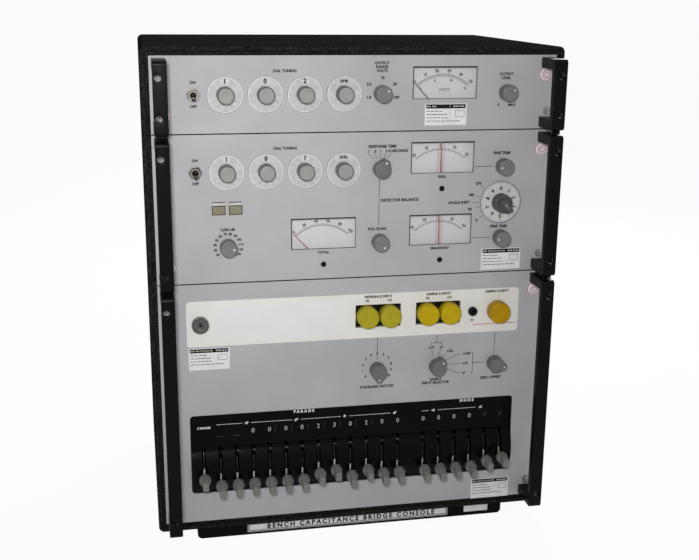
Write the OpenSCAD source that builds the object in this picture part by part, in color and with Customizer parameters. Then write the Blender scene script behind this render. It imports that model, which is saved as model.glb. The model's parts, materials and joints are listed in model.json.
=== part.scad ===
// Bench capacitance-measuring console: an oscillator panel, a detector panel and a
// lever-set bridge panel, stacked in one black cabinet.
// Millimetres. +Z is up, the panels face -Y, and the origin is the middle of the underside.

/* [Rack stack] */
// Width of every panel
panel_w = 482.6; // [476:0.1:500]
// Height of one rack unit
rack_unit = 44.45; // [44:0.05:46]
// Rack units of the oscillator panel
oscillator_units = 2; // [2:1:3]
// Rack units of the detector panel
detector_units = 4; // [4:1:5]
// Rack units of the bridge panel
bridge_units = 7; // [7:1:8]
// Gap between one panel and the next
panel_gap = 0.8; // [0.5:0.1:1.5]
// Thickness of the panels
panel_t = 4.76; // [4:0.01:6]
// Distance from a panel's end to its rack screws
screw_inset = 8.75; // [8:0.05:10]
// Diameter of a rack screw's shank
screw_d = 4.8; // [4:0.1:5.2]
// Diameter of a rack screw's head
screw_head_d = 9.5; // [8:0.1:10]
// Height of a rack screw's head
screw_head_h = 3; // [2:0.1:4]
// Height of a rack screw's slotted hole in the panel
screw_slot_h = 6.8; // [6:0.1:8]
// Width of a rack screw's slotted hole in the panel
screw_slot_w = 9.2; // [8.4:0.1:9.4]

/* [Cabinet] */
// Width of the cabinet rim round the stack
rim_w = 9.525; // [8:0.005:14]
// Depth of the cabinet behind the panel faces
cabinet_d = 336.5; // [300:0.5:400]
// Thickness of the cabinet walls
shell_wall = 2.5; // [1.5:0.1:4]
// Radius of the cabinet's outer corners
corner_r = 7; // [4:0.5:7.5]
// Distance that the rim's outer lip stands in front of the panels
lip_proud = 2; // [0.5:0.1:4]
// Width of the rim's outer lip
lip_w = 5; // [3:0.1:6]
// Depth of the dark step inside the lip, behind the panel faces
step_d = 3; // [1:0.1:4]
// Width of the rails behind the panel ends
rail_w = 24; // [20:0.5:25]
// Thickness of the rails
rail_t = 3; // [2:0.1:5]
// Thickness of the rear cover
cover_t = 2; // [1.2:0.1:4]
// Distance of the rear cover inside the cabinet's back edge
cover_inset = 2.5; // [2.5:0.1:8]
// Diameter of the rear cover's screws
cover_screw_d = 3.4; // [3:0.1:4]
// Diameter of the rear cover's screw heads
cover_screw_head_d = 7; // [6:0.1:8]
// Height of the rear cover's screw heads
cover_screw_head_h = 2.2; // [1.2:0.1:2.4]
// Width of the flange that the rear cover seats on
cover_flange_w = 12; // [10:0.5:20]
// Height of the foot bars
foot_h = 19.05; // [10:0.05:30]
// Length of the foot bars
foot_l = 405; // [300:1:440]
// Depth of the foot bars from front to back
foot_d = 25; // [15:0.5:40]
// Distance from the panel faces back to the front foot bar
foot_setback = 7; // [2:0.5:30]
// Radius of the foot bars' lower corners
foot_r = 6; // [2:0.5:8]
// Bore of the rear cord grommets
grommet_bore_d = 12; // [8:0.5:14]
// Wall of the rear cord grommets inside the cover
grommet_wall = 2; // [1.5:0.1:4]
// Distance of each grommet from the middle
grommet_x = 120; // [60:1:180]
// Height of the grommets above the cabinet's underside
grommet_rise = 149.225; // [60:0.005:500]

/* [Handles] */
// Reach of the handles in front of the panels
handle_reach = 44.5; // [44:0.5:60]
// Width of a handle's bar
handle_w = 16; // [14:0.5:18]
// Thickness of a handle's bar
handle_bar_t = 10; // [6:0.5:14]
// Height of a handle's legs
handle_leg_h = 12.5; // [8:0.5:14]
// Distance from a panel's end to a handle
handle_inset = 2.8; // [1.5:0.1:4.5]
// Distance from a panel's top or bottom to a handle
handle_gap = 2.5; // [1:0.1:4]
// Radius of the handles' outer corners
handle_r = 5; // [2:0.5:8]
// Diameter of the screwdriver holes in a handle
access_d = 8; // [6:0.5:9]

/* [Dials] */
// Place of the first frequency dial from the middle
dial_x = -157; // [-159:0.5:-155]
// Spacing of the frequency dials
dial_pitch = 46; // [45:0.25:47]
// Outer diameter of a frequency dial's mask
mask_d = 40.5; // [38:0.25:43]
// Wall of a mask's rim
mask_wall = 1; // [0.8:0.1:1.6]
// Height of a mask
mask_h = 4.4; // [4:0.1:6]
// Thickness of a mask's face
mask_t = 1.2; // [0.8:0.1:1.4]
// Width of a mask's number window
mask_window = 9; // [6:0.25:10]
// Thickness of a frequency dial's number disc
disc_t = 1.2; // [0.8:0.1:1.6]
// Diameter of a frequency dial's knob
dial_knob_d = 20; // [16:0.25:22]
// Height of a frequency dial's knob above the panel
dial_knob_h = 18; // [12:0.5:24]
// Diameter of the phase dial
phase_dial_d = 52.5; // [46:0.5:54]
// Thickness of the phase dial
phase_disc_t = 2; // [1.5:0.1:3]
// Diameter of the phase dial's hub
phase_hub_d = 23; // [20:0.5:26]
// Height of the phase dial's hub
phase_hub_h = 14; // [10:0.5:18]
// Height of the bar knob on the phase dial
phase_bar_h = 8; // [6:0.5:12]

/* [Knobs] */
// Diameter of the round knobs
knob_d = 20.3; // [16:0.1:21]
// Height of the knobs
knob_h = 15; // [10:0.5:20]
// Gap between a knob and the panel
knob_gap = 1.2; // [0.6:0.1:2]
// Reach of a pointer knob's nose from its axis
nose_reach = 13.5; // [12:0.25:15]
// Distance that a pointer knob's nose is cut short of a sharp point
nose_blunt = 4; // [3:0.25:6]
// Distance of a knob's dot inside its edge
dot_inset = 4; // [3:0.25:5]
// Diameter of a knob's dot
dot_d = 2; // [1:0.1:3]
// Diameter of the control shafts
shaft_d = 6.35; // [6:0.05:6.6]
// Radial clearance of a shaft in its bushing
shaft_fit = 0.1; // [0.06:0.01:0.1]
// Wall of the control bushings
bushing_wall = 1.5; // [1.2:0.1:2]
// Diameter of the small control bodies behind the panels
pot_d = 24; // [18:0.5:28]
// Diameter of the rotary switch bodies behind the dials
switch_d = 34; // [24:0.5:40]
// Length of the control bodies
control_l = 24; // [16:0.5:40]
// Thickness of a control body's closed end
control_end = 2; // [1:0.1:3]
// Gap between a shaft's end and the closed end of its body
shaft_gap = 2; // [1:0.1:3]

/* [Columns and rows] */
// Column of the power toggles
toggle_x = -193; // [-196:0.5:-191]
// Column of the middle knobs
knob_x = 26.5; // [24:0.5:29]
// Column of the right-hand meters
meter_x = 103.4; // [101:0.2:106]
// Column of the left-hand meter
left_meter_x = -42.2; // [-46:0.2:-40]
// Column of the right-hand knobs
right_x = 180; // [177:0.5:184]
// Column of the phase dial
phase_x = 178; // [176:0.5:182]
// Drop from the detector panel's top to its upper row
upper_drop = 44.45; // [43:0.05:46]
// Drop from the detector panel's top to its lower row
lower_drop = 133.35; // [132:0.05:135]
// Drop from the detector panel's top to its lamps
lamp_drop = 89.5; // [86:0.5:92]
// Drop from the bridge panel's top to the terminals
strip_drop = 49.7; // [46:0.1:54]
// Drop from the bridge panel's top to its knobs
knob_drop = 120.5; // [116:0.5:126]
// Drop from the bridge panel's top to the middle of the lever window
window_drop = 220.2; // [214:0.1:224]

/* [Meters and lamps] */
// Width of a meter window
meter_w = 79; // [70:0.5:84]
// Height of a meter window
meter_h = 38.2; // [34:0.1:40]
// Rise of a meter window above its row
meter_rise = 12; // [10:0.1:13]
// Drop from a meter window's middle to its needle's pivot
pivot_drop = 38; // [36:0.5:39]
// Length of a meter needle from its pivot
needle_l = 51; // [44:0.5:52]
// Length of a meter needle's tail below its pivot
needle_tail = 4.5; // [4:0.1:5]
// Depth of a meter's scale behind the panel
scale_d = 6; // [5:0.5:10]
// Depth of a meter case behind the panel
case_d = 30; // [20:1:60]
// Margin of a meter case round its window
case_margin = 4; // [3:0.5:5]
// Diameter of the zero screws below the meters
zero_screw_d = 6.6; // [5:0.2:8]
// Diameter of a zero screw's shank
zero_shank_d = 4; // [3:0.2:4.6]
// Height of a zero screw's head
zero_screw_h = 1.2; // [0.8:0.1:2]
// Thickness of the window panes
pane_t = 2; // [1:0.1:2.5]
// Distance of a pane behind the panel's face
pane_inset = 0.8; // [0.4:0.1:1.5]
// Clearance round a pane
pane_fit = 0.2; // [0.1:0.05:0.4]
// Width of a lamp window
lamp_w = 15.6; // [12:0.2:16]
// Height of a lamp window
lamp_h = 10.8; // [8:0.2:13]
// Spacing of the two lamp windows
lamp_pitch = 19.8; // [18:0.2:24]

/* [Terminals] */
// Length of the terminal strip
strip_w = 417.5; // [410:0.5:424]
// Height of the terminal strip
strip_h = 57.15; // [50:0.05:60]
// Thickness of the terminal strip
strip_t = 2; // [1:0.1:4]
// Width of a terminal recess
recess_w = 57.5; // [56.5:0.1:60]
// Height of a terminal recess
recess_h = 29.2; // [28:0.1:34]
// Depth of a terminal recess behind the panel face
recess_d = 3; // [1:0.1:4]
// Spacing of the two terminals in a recess
terminal_pitch = 28.2; // [27.5:0.1:29]
// Outer diameter of a terminal's sleeve
sleeve_d = 18.5; // [14:0.5:20]
// Length of a terminal's sleeve
sleeve_l = 15; // [10:0.5:20]
// Wall of a terminal's sleeve
sleeve_wall = 2.5; // [1.5:0.1:3]
// Outer diameter of a dust cap
cap_d = 27.2; // [24:0.1:27.6]
// Gap between a dust cap's open end and the face that its terminal stands on
cap_gap = 1.4; // [0.6:0.1:3]
// Thickness of a dust cap's end
cap_end = 2; // [1:0.1:3]
// Place of the ground jack from the middle
jack_x = 148; // [145:0.5:151]
// Diameter of the ground jack
jack_d = 11.5; // [10:0.5:14]
// Bore of the ground jack
jack_bore_d = 4.05; // [4:0.01:4.2]
// Depth of the ground jack's bore
jack_depth = 14; // [10:0.5:20]
// Diameter of the ground jack's body behind its flange
jack_body_d = 8.5; // [7:0.1:9.5]
// Height of the ground jack's flange
jack_flange_h = 4; // [2:0.5:6]
// Place of the round cover plug from the middle
plug_x = -192.4; // [-195:0.2:-190]
// Diameter of the round cover plug
plug_d = 20.6; // [16:0.2:24]
// Diameter of the plug's neck
plug_neck_d = 14.6; // [12:0.2:15]
// Height of the plug
plug_h = 6; // [3:0.5:8]
// Width of the plug's hexagon socket across its corners
plug_hex_d = 10.3; // [8:0.1:12]

/* [Levers] */
// Width of the lever window
window_w = 416.5; // [414:0.5:422]
// Height of the lever window
window_h = 104.5; // [102:0.5:110]
// Radius of the lever window's corners
window_r = 5; // [2:0.5:8]
// Distance from the lever window's left edge to the first lever
lever_margin = 15.75; // [14:0.05:17]
// Distance from the last lever to the lever window's right edge
end_margin = 16.1625; // [14:0.0125:17.5]
// Distance from the last capacitance lever to the first conductance lever
group_gap = 33.75; // [30:0.05:36]
// Turn of a lever from one digit to the next
lever_step = 2.8; // [2:0.1:2.9]
// Depth of the lever axle behind the panel faces
axle_depth = 54; // [52:0.5:58]
// Drop from the middle of the lever window to the axle
axle_drop = 22.1; // [20:0.1:24]
// Diameter of the lever axle
axle_d = 8; // [6:0.25:10]
// Distance that the lever guide bulges in front of the panel
guide_bulge = 6; // [4:0.25:8]
// Height of the rib above the lever guide
rib_h = 4.5; // [3:0.1:6]
// Distance that the rib stands in front of the panel
rib_proud = 1; // [0.5:0.1:2]
// Distance of the lever plate's face behind the panel's face
plate_inset = 1; // [0.5:0.1:2]
// Width of the lever plate's flange behind the panel
plate_flange_w = 6; // [4:0.5:8]
// Thickness of the lever plate's flange behind the panel
plate_flange_t = 3; // [2:0.1:4]
// Wall of the lever guide
guide_wall = 3; // [2:0.1:4]
// Gap between the lever guide and a lever's sector
sector_gap = 1; // [0.6:0.1:2]
// Turn of a lever slot past the last digits
slot_spare = 2.6; // [2.2:0.1:4]
// Width of a lever slot
slot_w = 4.4; // [4.2:0.1:6]
// Distance that a lever slot reaches past the top of the rib
slot_past = 1; // [0.5:0.1:2]
// Diameter of a lever's stem
stem_d = 3.4; // [2.5:0.1:3.6]
// Thickness of a lever's steel sector
sector_t = 2; // [1.5:0.1:3]
// Wall of a lever's hub
hub_wall = 4; // [2:0.5:6]
// Width of a lever's hub
hub_w = 10; // [6:0.5:16]
// Gap between the lever guide and a lever's knob
stem_show = 6.5; // [5:0.25:9]
// Diameter of a lever's knob
lever_knob_d = 14.5; // [12:0.25:16]
// Length of a lever's knob
lever_knob_l = 22; // [18:0.5:29]
// Length of a lever knob's round base
knob_base_l = 6.75; // [5:0.25:9]
// Diameter of the cone that a lever knob's blade ends in
blade_tip_d = 11; // [7:0.1:13]
// Width of a lever knob's blade
blade_w = 7.6; // [6:0.2:9]

/* [Chassis] */
// Length of the trays behind the panels
tray_l = 252; // [240:1:280]
// Thickness of the trays' sheet
tray_sheet = 1.5; // [1:0.1:2.5]
// Gap between a tray and the rails at its sides
tray_gap = 4; // [2:0.5:10]
// Height of a tray above its panel's lower edge
tray_rise = 3; // [2:0.5:4]
// Distance from the lever axle back to the pieces on the trays
inside_gap = 40; // [30:1:60]
// Place of the power transformers from the middle
transformer_x = -142; // [-160:1:-120]
// Width of a power transformer's core
core_w = 58; // [50:1:70]
// Depth of a power transformer from front to back
core_l = 50; // [40:1:60]
// Height of a power transformer's core
core_h = 34; // [30:1:40]
// Width of a power transformer's coil
coil_w = 40; // [34:1:48]
// Height of a power transformer's coil
coil_h = 46; // [42:1:56]
// Place of the circuit boards from the middle
board_x = 53; // [30:1:80]
// Width of a circuit board
board_w = 200; // [160:1:220]
// Depth of a circuit board from front to back
board_l = 130; // [100:1:140]
// Thickness of a circuit board
board_t = 1.6; // [1:0.1:2.4]
// Height of a circuit board's posts
post_h = 12; // [8:0.5:16]
// Diameter of a circuit board's posts
post_d = 6; // [4:0.5:8]
// Place of the ratio transformer from the middle
toroid_x = -107; // [-130:1:-80]
// Diameter of the ratio transformer
toroid_d = 110; // [90:1:120]
// Bore of the ratio transformer
toroid_bore_d = 55; // [40:1:70]
// Height of the ratio transformer
toroid_h = 45; // [30:1:60]
// Place of the first reference capacitor from the middle
can_x = 35.5; // [20:0.5:50]
// Diameter of the reference capacitors
can_d = 50; // [40:1:56]
// Height of the reference capacitors
can_h = 70; // [50:1:90]
// Gap between one reference capacitor and the next
can_gap = 12; // [4:1:20]

/* [Toggles] */
// Outer diameter of a toggle's bushing
toggle_bushing_d = 11.4; // [10:0.2:12]
// Distance that a toggle's bushing stands in front of the panel
toggle_proud = 5; // [4:0.25:8]
// Swing of a toggle between its two positions
toggle_swing = 34; // [24:1:36]
// Length of a toggle's bat
bat_l = 13; // [10:0.5:18]

/* [Hidden] */
$fn = 96;
eps = 0.5;
fit = 0.4;
seat = 0.1;
min_r = 0.5;
cover_flange_t = 2;

// Levels of the stack, from the floor up
stack_units = oscillator_units + detector_units + bridge_units;
stack_bottom = foot_h + rim_w;
stack_h = stack_units * rack_unit;
stack_top = stack_bottom + stack_h;
detector_top = stack_top - oscillator_units * rack_unit;
bridge_top = detector_top - detector_units * rack_unit;
cabinet_w = panel_w + 2 * rim_w;
cabinet_h = stack_h + 2 * rim_w;
cabinet_mid = foot_h + cabinet_h / 2;

// Depths, from the handles' fronts at the least Y to the cabinet's back
front_y = -(handle_reach + cabinet_d) / 2;
panel_y = front_y + handle_reach;
panel_back = panel_y + panel_t;
back_y = -front_y;
cover_y = back_y - cover_inset;
cover_seat = cover_y - cover_t;
cover_flange_y = cover_seat - cover_flange_t;
rail_back = panel_back + rail_t;

// Rows of controls
oscillator_row = stack_top - oscillator_units * rack_unit / 2;
upper_row = detector_top - upper_drop;
lower_row = detector_top - lower_drop;
phase_row = (upper_row + lower_row) / 2;
lamp_row = detector_top - lamp_drop;
strip_row = bridge_top - strip_drop;
knob_row = bridge_top - knob_drop;
window_row = bridge_top - window_drop;
axle_row = window_row - axle_drop;
axle_y = panel_y + axle_depth;
screw_x = panel_w / 2 - screw_inset;

// Panels: units and level of the top edge
PANELS = [
    [oscillator_units, stack_top],
    [detector_units, detector_top],
    [bridge_units, bridge_top]
];
function panel_mid(p) = p[1] - p[0] * rack_unit / 2;
function panel_h(p) = p[0] * rack_unit - panel_gap;
function screw_levels(p) = [p[1] - rack_unit / 2, p[1] - (p[0] - 0.5) * rack_unit];

// Meters: name, column, row and needle's angle at rest, clockwise from upright
side_zero = -44;
METERS = [
    ["level_needle", meter_x, oscillator_row, side_zero],
    ["magnitude_needle", left_meter_x, lower_row, side_zero],
    ["in_phase_needle", meter_x, upper_row, 0],
    ["quadrature_needle", meter_x, lower_row, 0]
];
function window_z(m) = m[2] + meter_rise;
function pivot_z(m) = window_z(m) - pivot_drop;

// Knobs: name, column, row, true for a pointer nose, and angle clockwise from upright
KNOBS = [
    ["output_range_knob", knob_x, oscillator_row, false, 52],
    ["output_level_knob", right_x, oscillator_row, false, 54],
    ["gain_knob", dial_x, lower_row, false, 96],
    ["time_constant_knob", knob_x, upper_row, true, 25],
    ["sensitivity_knob", knob_x, lower_row, false, 145],
    ["in_phase_knob", right_x, upper_row, false, -90],
    ["quadrature_knob", right_x, lower_row, false, -90],
    ["multiplier_knob", knob_x, knob_row, true, 180],
    ["terminal_knob", meter_x, knob_row, true, 34],
    ["zero_knob", right_x, knob_row, true, 104]
];
phase_knob_turn = 135;

// Frequency dials, four in a row on each of the two upper panels
dial_count = 4;
DIALS = [
    for (row = [["oscillator", oscillator_row], ["detector", upper_row]], i = [0:dial_count - 1])
        [str(row[0], "_dial_", i + 1), dial_x + i * dial_pitch, row[1]]
];
TOGGLES = [["oscillator_toggle", oscillator_row], ["detector_toggle", upper_row]];

// Levers: name, place and shown digit, one step of turn to a digit. They share out the window's width.
lever_digits = 12;
level_digit = (lever_digits - 3) / 2;
CAPACITANCE = [0, 0, 0, 0, 0, 0, 2, 3, 0, 2, 0, 0];
CONDUCTANCE = [0, 0, 0, 0, 2, 3];
lever_pitch = (window_w - lever_margin - end_margin - group_gap) / (len(CAPACITANCE) + len(CONDUCTANCE) - 1);
lever_x = lever_margin - window_w / 2;
conductance_x = lever_x + len(CAPACITANCE) * lever_pitch + group_gap;
LEVERS = concat(
    [["range_lever", lever_x, 3]],
    [for (i = [0:len(CAPACITANCE) - 1])
        [str("capacitance_lever_", i + 1), lever_x + (i + 1) * lever_pitch, CAPACITANCE[i]]],
    [for (i = [0:len(CONDUCTANCE) - 1])
        [str("conductance_lever_", i + 1), conductance_x + i * lever_pitch, CONDUCTANCE[i]]]
);
function lever_angle(digit) = (digit - level_digit) * lever_step;

// Radii about the lever axle
guide_r = axle_depth + guide_bulge;
guide_in_r = guide_r - guide_wall;
// Half height at which the round guide meets the panel faces
guide_chord = sqrt(guide_r * guide_r - axle_depth * axle_depth);
sector_r = guide_in_r - sector_gap;
lever_swing = (lever_digits - 1) / 2 * lever_step;
slot_half = lever_swing + slot_spare;
slot_top = atan((guide_chord + rib_h + slot_past) / (axle_depth - plate_inset));
sector_half = slot_half + lever_swing;

// Bushings and holes that the control shafts run in
bushing_bore = shaft_d + 2 * shaft_fit;
bushing_d = bushing_bore + 2 * bushing_wall;
hole_d = bushing_d + 2 * fit;
quill_d = bushing_bore + 2 * bushing_wall;
quill_bore = quill_d + 2 * shaft_fit;
phase_bushing_d = quill_bore + 2 * bushing_wall;
phase_hole_d = phase_bushing_d + 2 * fit;
bore_end = panel_back + control_l - control_end;
shaft_end = bore_end - shaft_gap;
// Where a pointer knob's flanks would meet, past its blunt nose
nose_full = nose_reach + nose_blunt;
needle_pin_d = 2;
pin_gap = 0.5;
toggle_hole_d = toggle_bushing_d + 2 * fit;
toggle_bore_d = 7.4;
toggle_ball_d = toggle_bore_d - 2 * fit;
toggle_pivot_y = panel_y - toggle_proud / 2;

// Terminals: places along the strip and depth of the face that each stands on
RECESSES = [knob_x, meter_x];
strip_y = panel_y - strip_t;
recess_y = panel_y + recess_d;
TERMINALS = concat(
    [for (x = RECESSES, side = [-1, 1]) [x + side * terminal_pitch / 2, recess_y]],
    [[right_x, strip_y]]
);

// Trays behind the panels, and where the pieces on them begin
tray_w = panel_w - 2 * (rail_w + tray_gap);
function tray_level(p) = p[1] - p[0] * rack_unit + tray_rise;
inside_y = axle_y + inside_gap;

// Shared shapes

// An outline drawn in X and Z, as a plate between two depths
module slab(y0, y1) {
    translate([0, y1, 0]) rotate([90, 0, 0]) linear_extrude(y1 - y0) children();
}

// A rectangle with round corners, about its middle
module rounded(w, h, r) {
    square([w - 2 * r, h], center = true);
    square([w, h - 2 * r], center = true);
    for (sx = [-1, 1], sz = [-1, 1])
        translate([sx * (w / 2 - r), sz * (h / 2 - r)]) circle(r);
}

// A round bar or hole along Y, between two depths
module rod(d, y0, y1) {
    translate([0, y0, 0]) rotate([-90, 0, 0]) cylinder(d = d, h = y1 - y0);
}

// A round bar or hole along X, between two places
module cross_rod(d, x0, x1) {
    translate([x0, 0, 0]) rotate([0, 90, 0]) cylinder(d = d, h = x1 - x0);
}

// Moves a shape to a control's column and row
module place(x, z) {
    translate([x, 0, z]) children();
}

// Cabinet

module cabinet_shell() {
    open_w = panel_w + 2 * fit;
    open_h = stack_h - panel_gap + 2 * fit;
    step_w = 2 * (rim_w - lip_w);
    color("#1d1d1f") difference() {
        place(0, cabinet_mid) slab(panel_y - lip_proud, back_y) rounded(cabinet_w, cabinet_h, corner_r);
        place(0, cabinet_mid) {
            slab(panel_y - lip_proud - eps, panel_back) square([open_w, open_h], center = true);
            slab(panel_y - lip_proud - eps, panel_y + step_d)
                square([panel_w + step_w, stack_h + step_w], center = true);
            slab(panel_back - eps, rail_back + eps)
                square([panel_w - 2 * rail_w + 2 * fit, open_h], center = true);
            slab(rail_back, cover_flange_y) cavity(0);
            slab(cover_flange_y - eps, back_y) cavity(cover_flange_w);
            slab(cover_seat, back_y + eps) cavity(0);
        }
        place(0, window_row) slab(panel_back - eps, rail_back + eps) lever_flange(fit);
        rack_screw_places() rod(screw_d + fit, panel_back - eps, rail_back + eps);
        cover_screw_places() rod(cover_screw_d + fit, cover_flange_y - eps, back_y);
    }
}

// The inside of the cabinet, drawn in by a margin
module cavity(margin) {
    inset = shell_wall + margin;
    rounded(cabinet_w - 2 * inset, cabinet_h - 2 * inset, max(corner_r - inset, min_r));
}

module cover_screw_places() {
    x = cabinet_w / 2 - shell_wall - cover_flange_w / 2;
    z = cabinet_h / 2 - shell_wall - cover_flange_w / 2;
    for (sx = [-1, 1], level = [-1, 0, 1]) place(sx * x, cabinet_mid + level * z) children();
}

module rack_screw_places() {
    for (p = PANELS, z = screw_levels(p), side = [-1, 1]) place(side * screw_x, z) children();
}

module grommet_places() {
    for (side = [-1, 1]) place(side * grommet_x, foot_h + grommet_rise) children();
}

module rear_cover() {
    neck_d = grommet_bore_d + 2 * grommet_wall;
    lip = 2;
    color("#222224") {
        difference() {
            place(0, cabinet_mid) slab(cover_seat, cover_y) cavity(fit);
            cover_screw_places() rod(cover_screw_d + fit, cover_seat - eps, cover_y + eps);
            grommet_places() rod(neck_d + fit, cover_seat - eps, cover_y + eps);
        }
        grommet_places() difference() {
            union() {
                rod(neck_d, cover_seat - lip, cover_y + lip);
                rod(neck_d + 2 * lip, cover_seat - lip, cover_seat - seat);
                rod(neck_d + 2 * lip, cover_y + seat, cover_y + lip);
            }
            rod(grommet_bore_d, cover_seat - lip - eps, cover_y + lip + eps);
        }
    }
}

module foot_bars() {
    front = panel_y + foot_setback;
    rear = back_y - foot_setback - foot_d;
    color("#161617") for (y = [front, rear]) slab(y, y + foot_d) {
        translate([-foot_l / 2, foot_r]) square([foot_l, foot_h - foot_r]);
        translate([-foot_l / 2 + foot_r, 0]) square([foot_l - 2 * foot_r, foot_h]);
        for (side = [-1, 1]) translate([side * (foot_l / 2 - foot_r), foot_r]) circle(foot_r);
    }
}

// Panels

// A blank panel with its four slotted rack holes
module blank_panel(p) {
    difference() {
        place(0, panel_mid(p)) slab(panel_y, panel_back) square([panel_w, panel_h(p)], center = true);
        for (z = screw_levels(p), side = [-1, 1]) place(side * screw_x, z)
            slab(panel_y - eps, panel_back + eps) rounded(screw_slot_w, screw_slot_h, screw_slot_h / 2 - 0.01);
    }
}

module drill(d) {
    rod(d, panel_y - eps, panel_back + eps);
}

module window_cut(w, h) {
    slab(panel_y - eps, panel_back + eps) square([w, h], center = true);
}

module meter_cut(m) {
    place(m[1], window_z(m)) window_cut(meter_w, meter_h);
    place(m[1], pivot_z(m)) drill(zero_shank_d + fit);
}

module lamp_places() {
    for (side = [-1, 1]) place(dial_x + side * lamp_pitch / 2, lamp_row) children();
}

module oscillator_panel() {
    color("#c3c4c6") difference() {
        blank_panel(PANELS[0]);
        place(toggle_x, oscillator_row) drill(toggle_hole_d);
        for (i = [0:dial_count - 1]) place(DIALS[i][1], oscillator_row) drill(hole_d);
        for (k = [KNOBS[0], KNOBS[1]]) place(k[1], k[2]) drill(hole_d);
        meter_cut(METERS[0]);
    }
}

module detector_panel() {
    color("#c3c4c6") difference() {
        blank_panel(PANELS[1]);
        place(toggle_x, upper_row) drill(toggle_hole_d);
        for (i = [0:dial_count - 1]) place(DIALS[dial_count + i][1], upper_row) drill(hole_d);
        for (i = [2:6]) place(KNOBS[i][1], KNOBS[i][2]) drill(hole_d);
        place(phase_x, phase_row) drill(phase_hole_d);
        for (i = [1:3]) meter_cut(METERS[i]);
        lamp_places() window_cut(lamp_w, lamp_h);
    }
}

module bridge_panel() {
    color("#c3c4c6") difference() {
        blank_panel(PANELS[2]);
        for (i = [7:9]) place(KNOBS[i][1], KNOBS[i][2]) drill(hole_d);
        for (x = RECESSES) place(x, strip_row) window_cut(recess_w, recess_h);
        place(jack_x, strip_row) drill(jack_body_d + fit);
        place(plug_x, strip_row) drill(plug_neck_d + fit);
        place(0, window_row) slab(panel_y - eps, panel_back + eps) rounded(window_w, window_h, window_r);
    }
}

// Handles, screws and small metal fittings

module rack_handles() {
    x = panel_w / 2 - handle_inset - handle_w;
    color("#202022") for (p = PANELS, side = [0, 1]) mirror([side, 0, 0]) {
        h = panel_h(p) - 2 * handle_gap;
        low = panel_mid(p) - h / 2;
        difference() {
            translate([x, 0, low]) rotate([90, 0, 90]) linear_extrude(handle_w) handle_outline(h);
            for (z = screw_levels(p)) place(screw_x, z) rod(access_d, front_y - eps, front_y + handle_bar_t + eps);
        }
    }
}

// Side view of a handle: a bar on two legs, round where they meet outside
module handle_outline(h) {
    difference() {
        union() {
            translate([front_y, handle_r]) square([handle_reach, h - 2 * handle_r]);
            translate([front_y + handle_r, 0]) square([handle_reach - handle_r, h]);
            for (z = [handle_r, h - handle_r]) translate([front_y + handle_r, z]) circle(handle_r);
        }
        translate([front_y + handle_bar_t, handle_leg_h])
            square([handle_reach - handle_bar_t + eps, h - 2 * handle_leg_h]);
    }
}

// A slotted screw, its head seated on a face that looks along -Y
module slotted_screw(face, d, head_d, head_h, l) {
    slot_depth = head_h * 0.4;
    slot = 1.4;
    difference() {
        union() {
            rod(d, face - eps, face + l);
            rod(head_d, face - head_h, face);
        }
        translate([-head_d, face - head_h - eps, -slot / 2]) cube([2 * head_d, slot_depth + eps, slot]);
    }
}

module panel_screws() {
    nut_wall = 1.5;
    nut_d = (toggle_bushing_d + 2 * nut_wall) / cos(30);
    nut_h = 2.2;
    socket_depth = 2;
    color("#c9c6bd") {
        rack_screw_places() slotted_screw(panel_y, screw_d, screw_head_d, screw_head_h, panel_t + rail_t);
        cover_screw_places() translate([0, 2 * cover_y, 0]) rotate([0, 0, 180]) slotted_screw(
            cover_y, cover_screw_d, cover_screw_head_d, cover_screw_head_h, cover_t + cover_flange_t);
        for (t = TOGGLES) place(toggle_x, t[1]) difference() {
            translate([0, panel_y, 0]) rotate([90, 0, 0]) cylinder(d = nut_d, h = nut_h, $fn = 6);
            rod(toggle_bushing_d + fit, panel_y - nut_h - eps, panel_y + eps);
        }
        place(plug_x, strip_row) difference() {
            union() {
                rod(plug_d, strip_y - plug_h, strip_y);
                rod(plug_neck_d, strip_y - eps, panel_back);
            }
            translate([0, strip_y - plug_h + socket_depth, 0]) rotate([90, 0, 0]) cylinder(
                d = plug_hex_d, h = socket_depth + eps, $fn = 6);
        }
    }
}

// Meters, lamps and dial masks

module meter_cases() {
    w = meter_w + 2 * case_margin;
    top = meter_h / 2 + case_margin;
    wall = 2;
    tail_gap = 1;
    bottom = pivot_drop + needle_tail + wall + tail_gap;
    color("#1b1b1d") for (m = METERS) {
        place(m[1], window_z(m)) difference() {
            slab(panel_back, panel_back + case_d)
                translate([-w / 2, -bottom]) square([w, top + bottom]);
            slab(panel_back - eps, panel_back + scale_d)
                translate([wall - w / 2, wall - bottom]) square([w - 2 * wall, top + bottom - 2 * wall]);
        }
        place(m[1], pivot_z(m)) rod(needle_pin_d, panel_back + pin_gap, panel_back + scale_d);
        place(m[1], pivot_z(m))
            slotted_screw(panel_y, zero_shank_d, zero_screw_d, zero_screw_h, panel_t - pin_gap);
    }
}

module window_panes() {
    pane_y = panel_y + pane_inset;
    color("#d8dcd2", 0.6) {
        for (m = METERS) place(m[1], window_z(m)) slab(pane_y, pane_y + pane_t)
            square([meter_w - 2 * pane_fit, meter_h - 2 * pane_fit], center = true);
        lamp_places() slab(pane_y, pane_y + pane_t)
            square([lamp_w - 2 * pane_fit, lamp_h - 2 * pane_fit], center = true);
        for (d = DIALS) place(d[1], d[2]) dial_mask();
    }
}

// A frosted cover over a number disc, with one window at the top
module dial_mask() {
    face = panel_y - mask_h;
    knob_clear = 1;
    band = 1;
    disc_r = mask_d / 2 - mask_wall;
    hole_r = dial_knob_d / 2 + knob_clear;
    difference() {
        rod(mask_d, face, panel_y);
        rod(2 * disc_r, face + mask_t, panel_y + eps);
        rod(2 * hole_r, face - eps, panel_y);
        place(0, (disc_r + hole_r) / 2) slab(face - eps, face + mask_t + eps)
            square([mask_window, disc_r - hole_r - 2 * band], center = true);
    }
}

// Terminals

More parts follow.
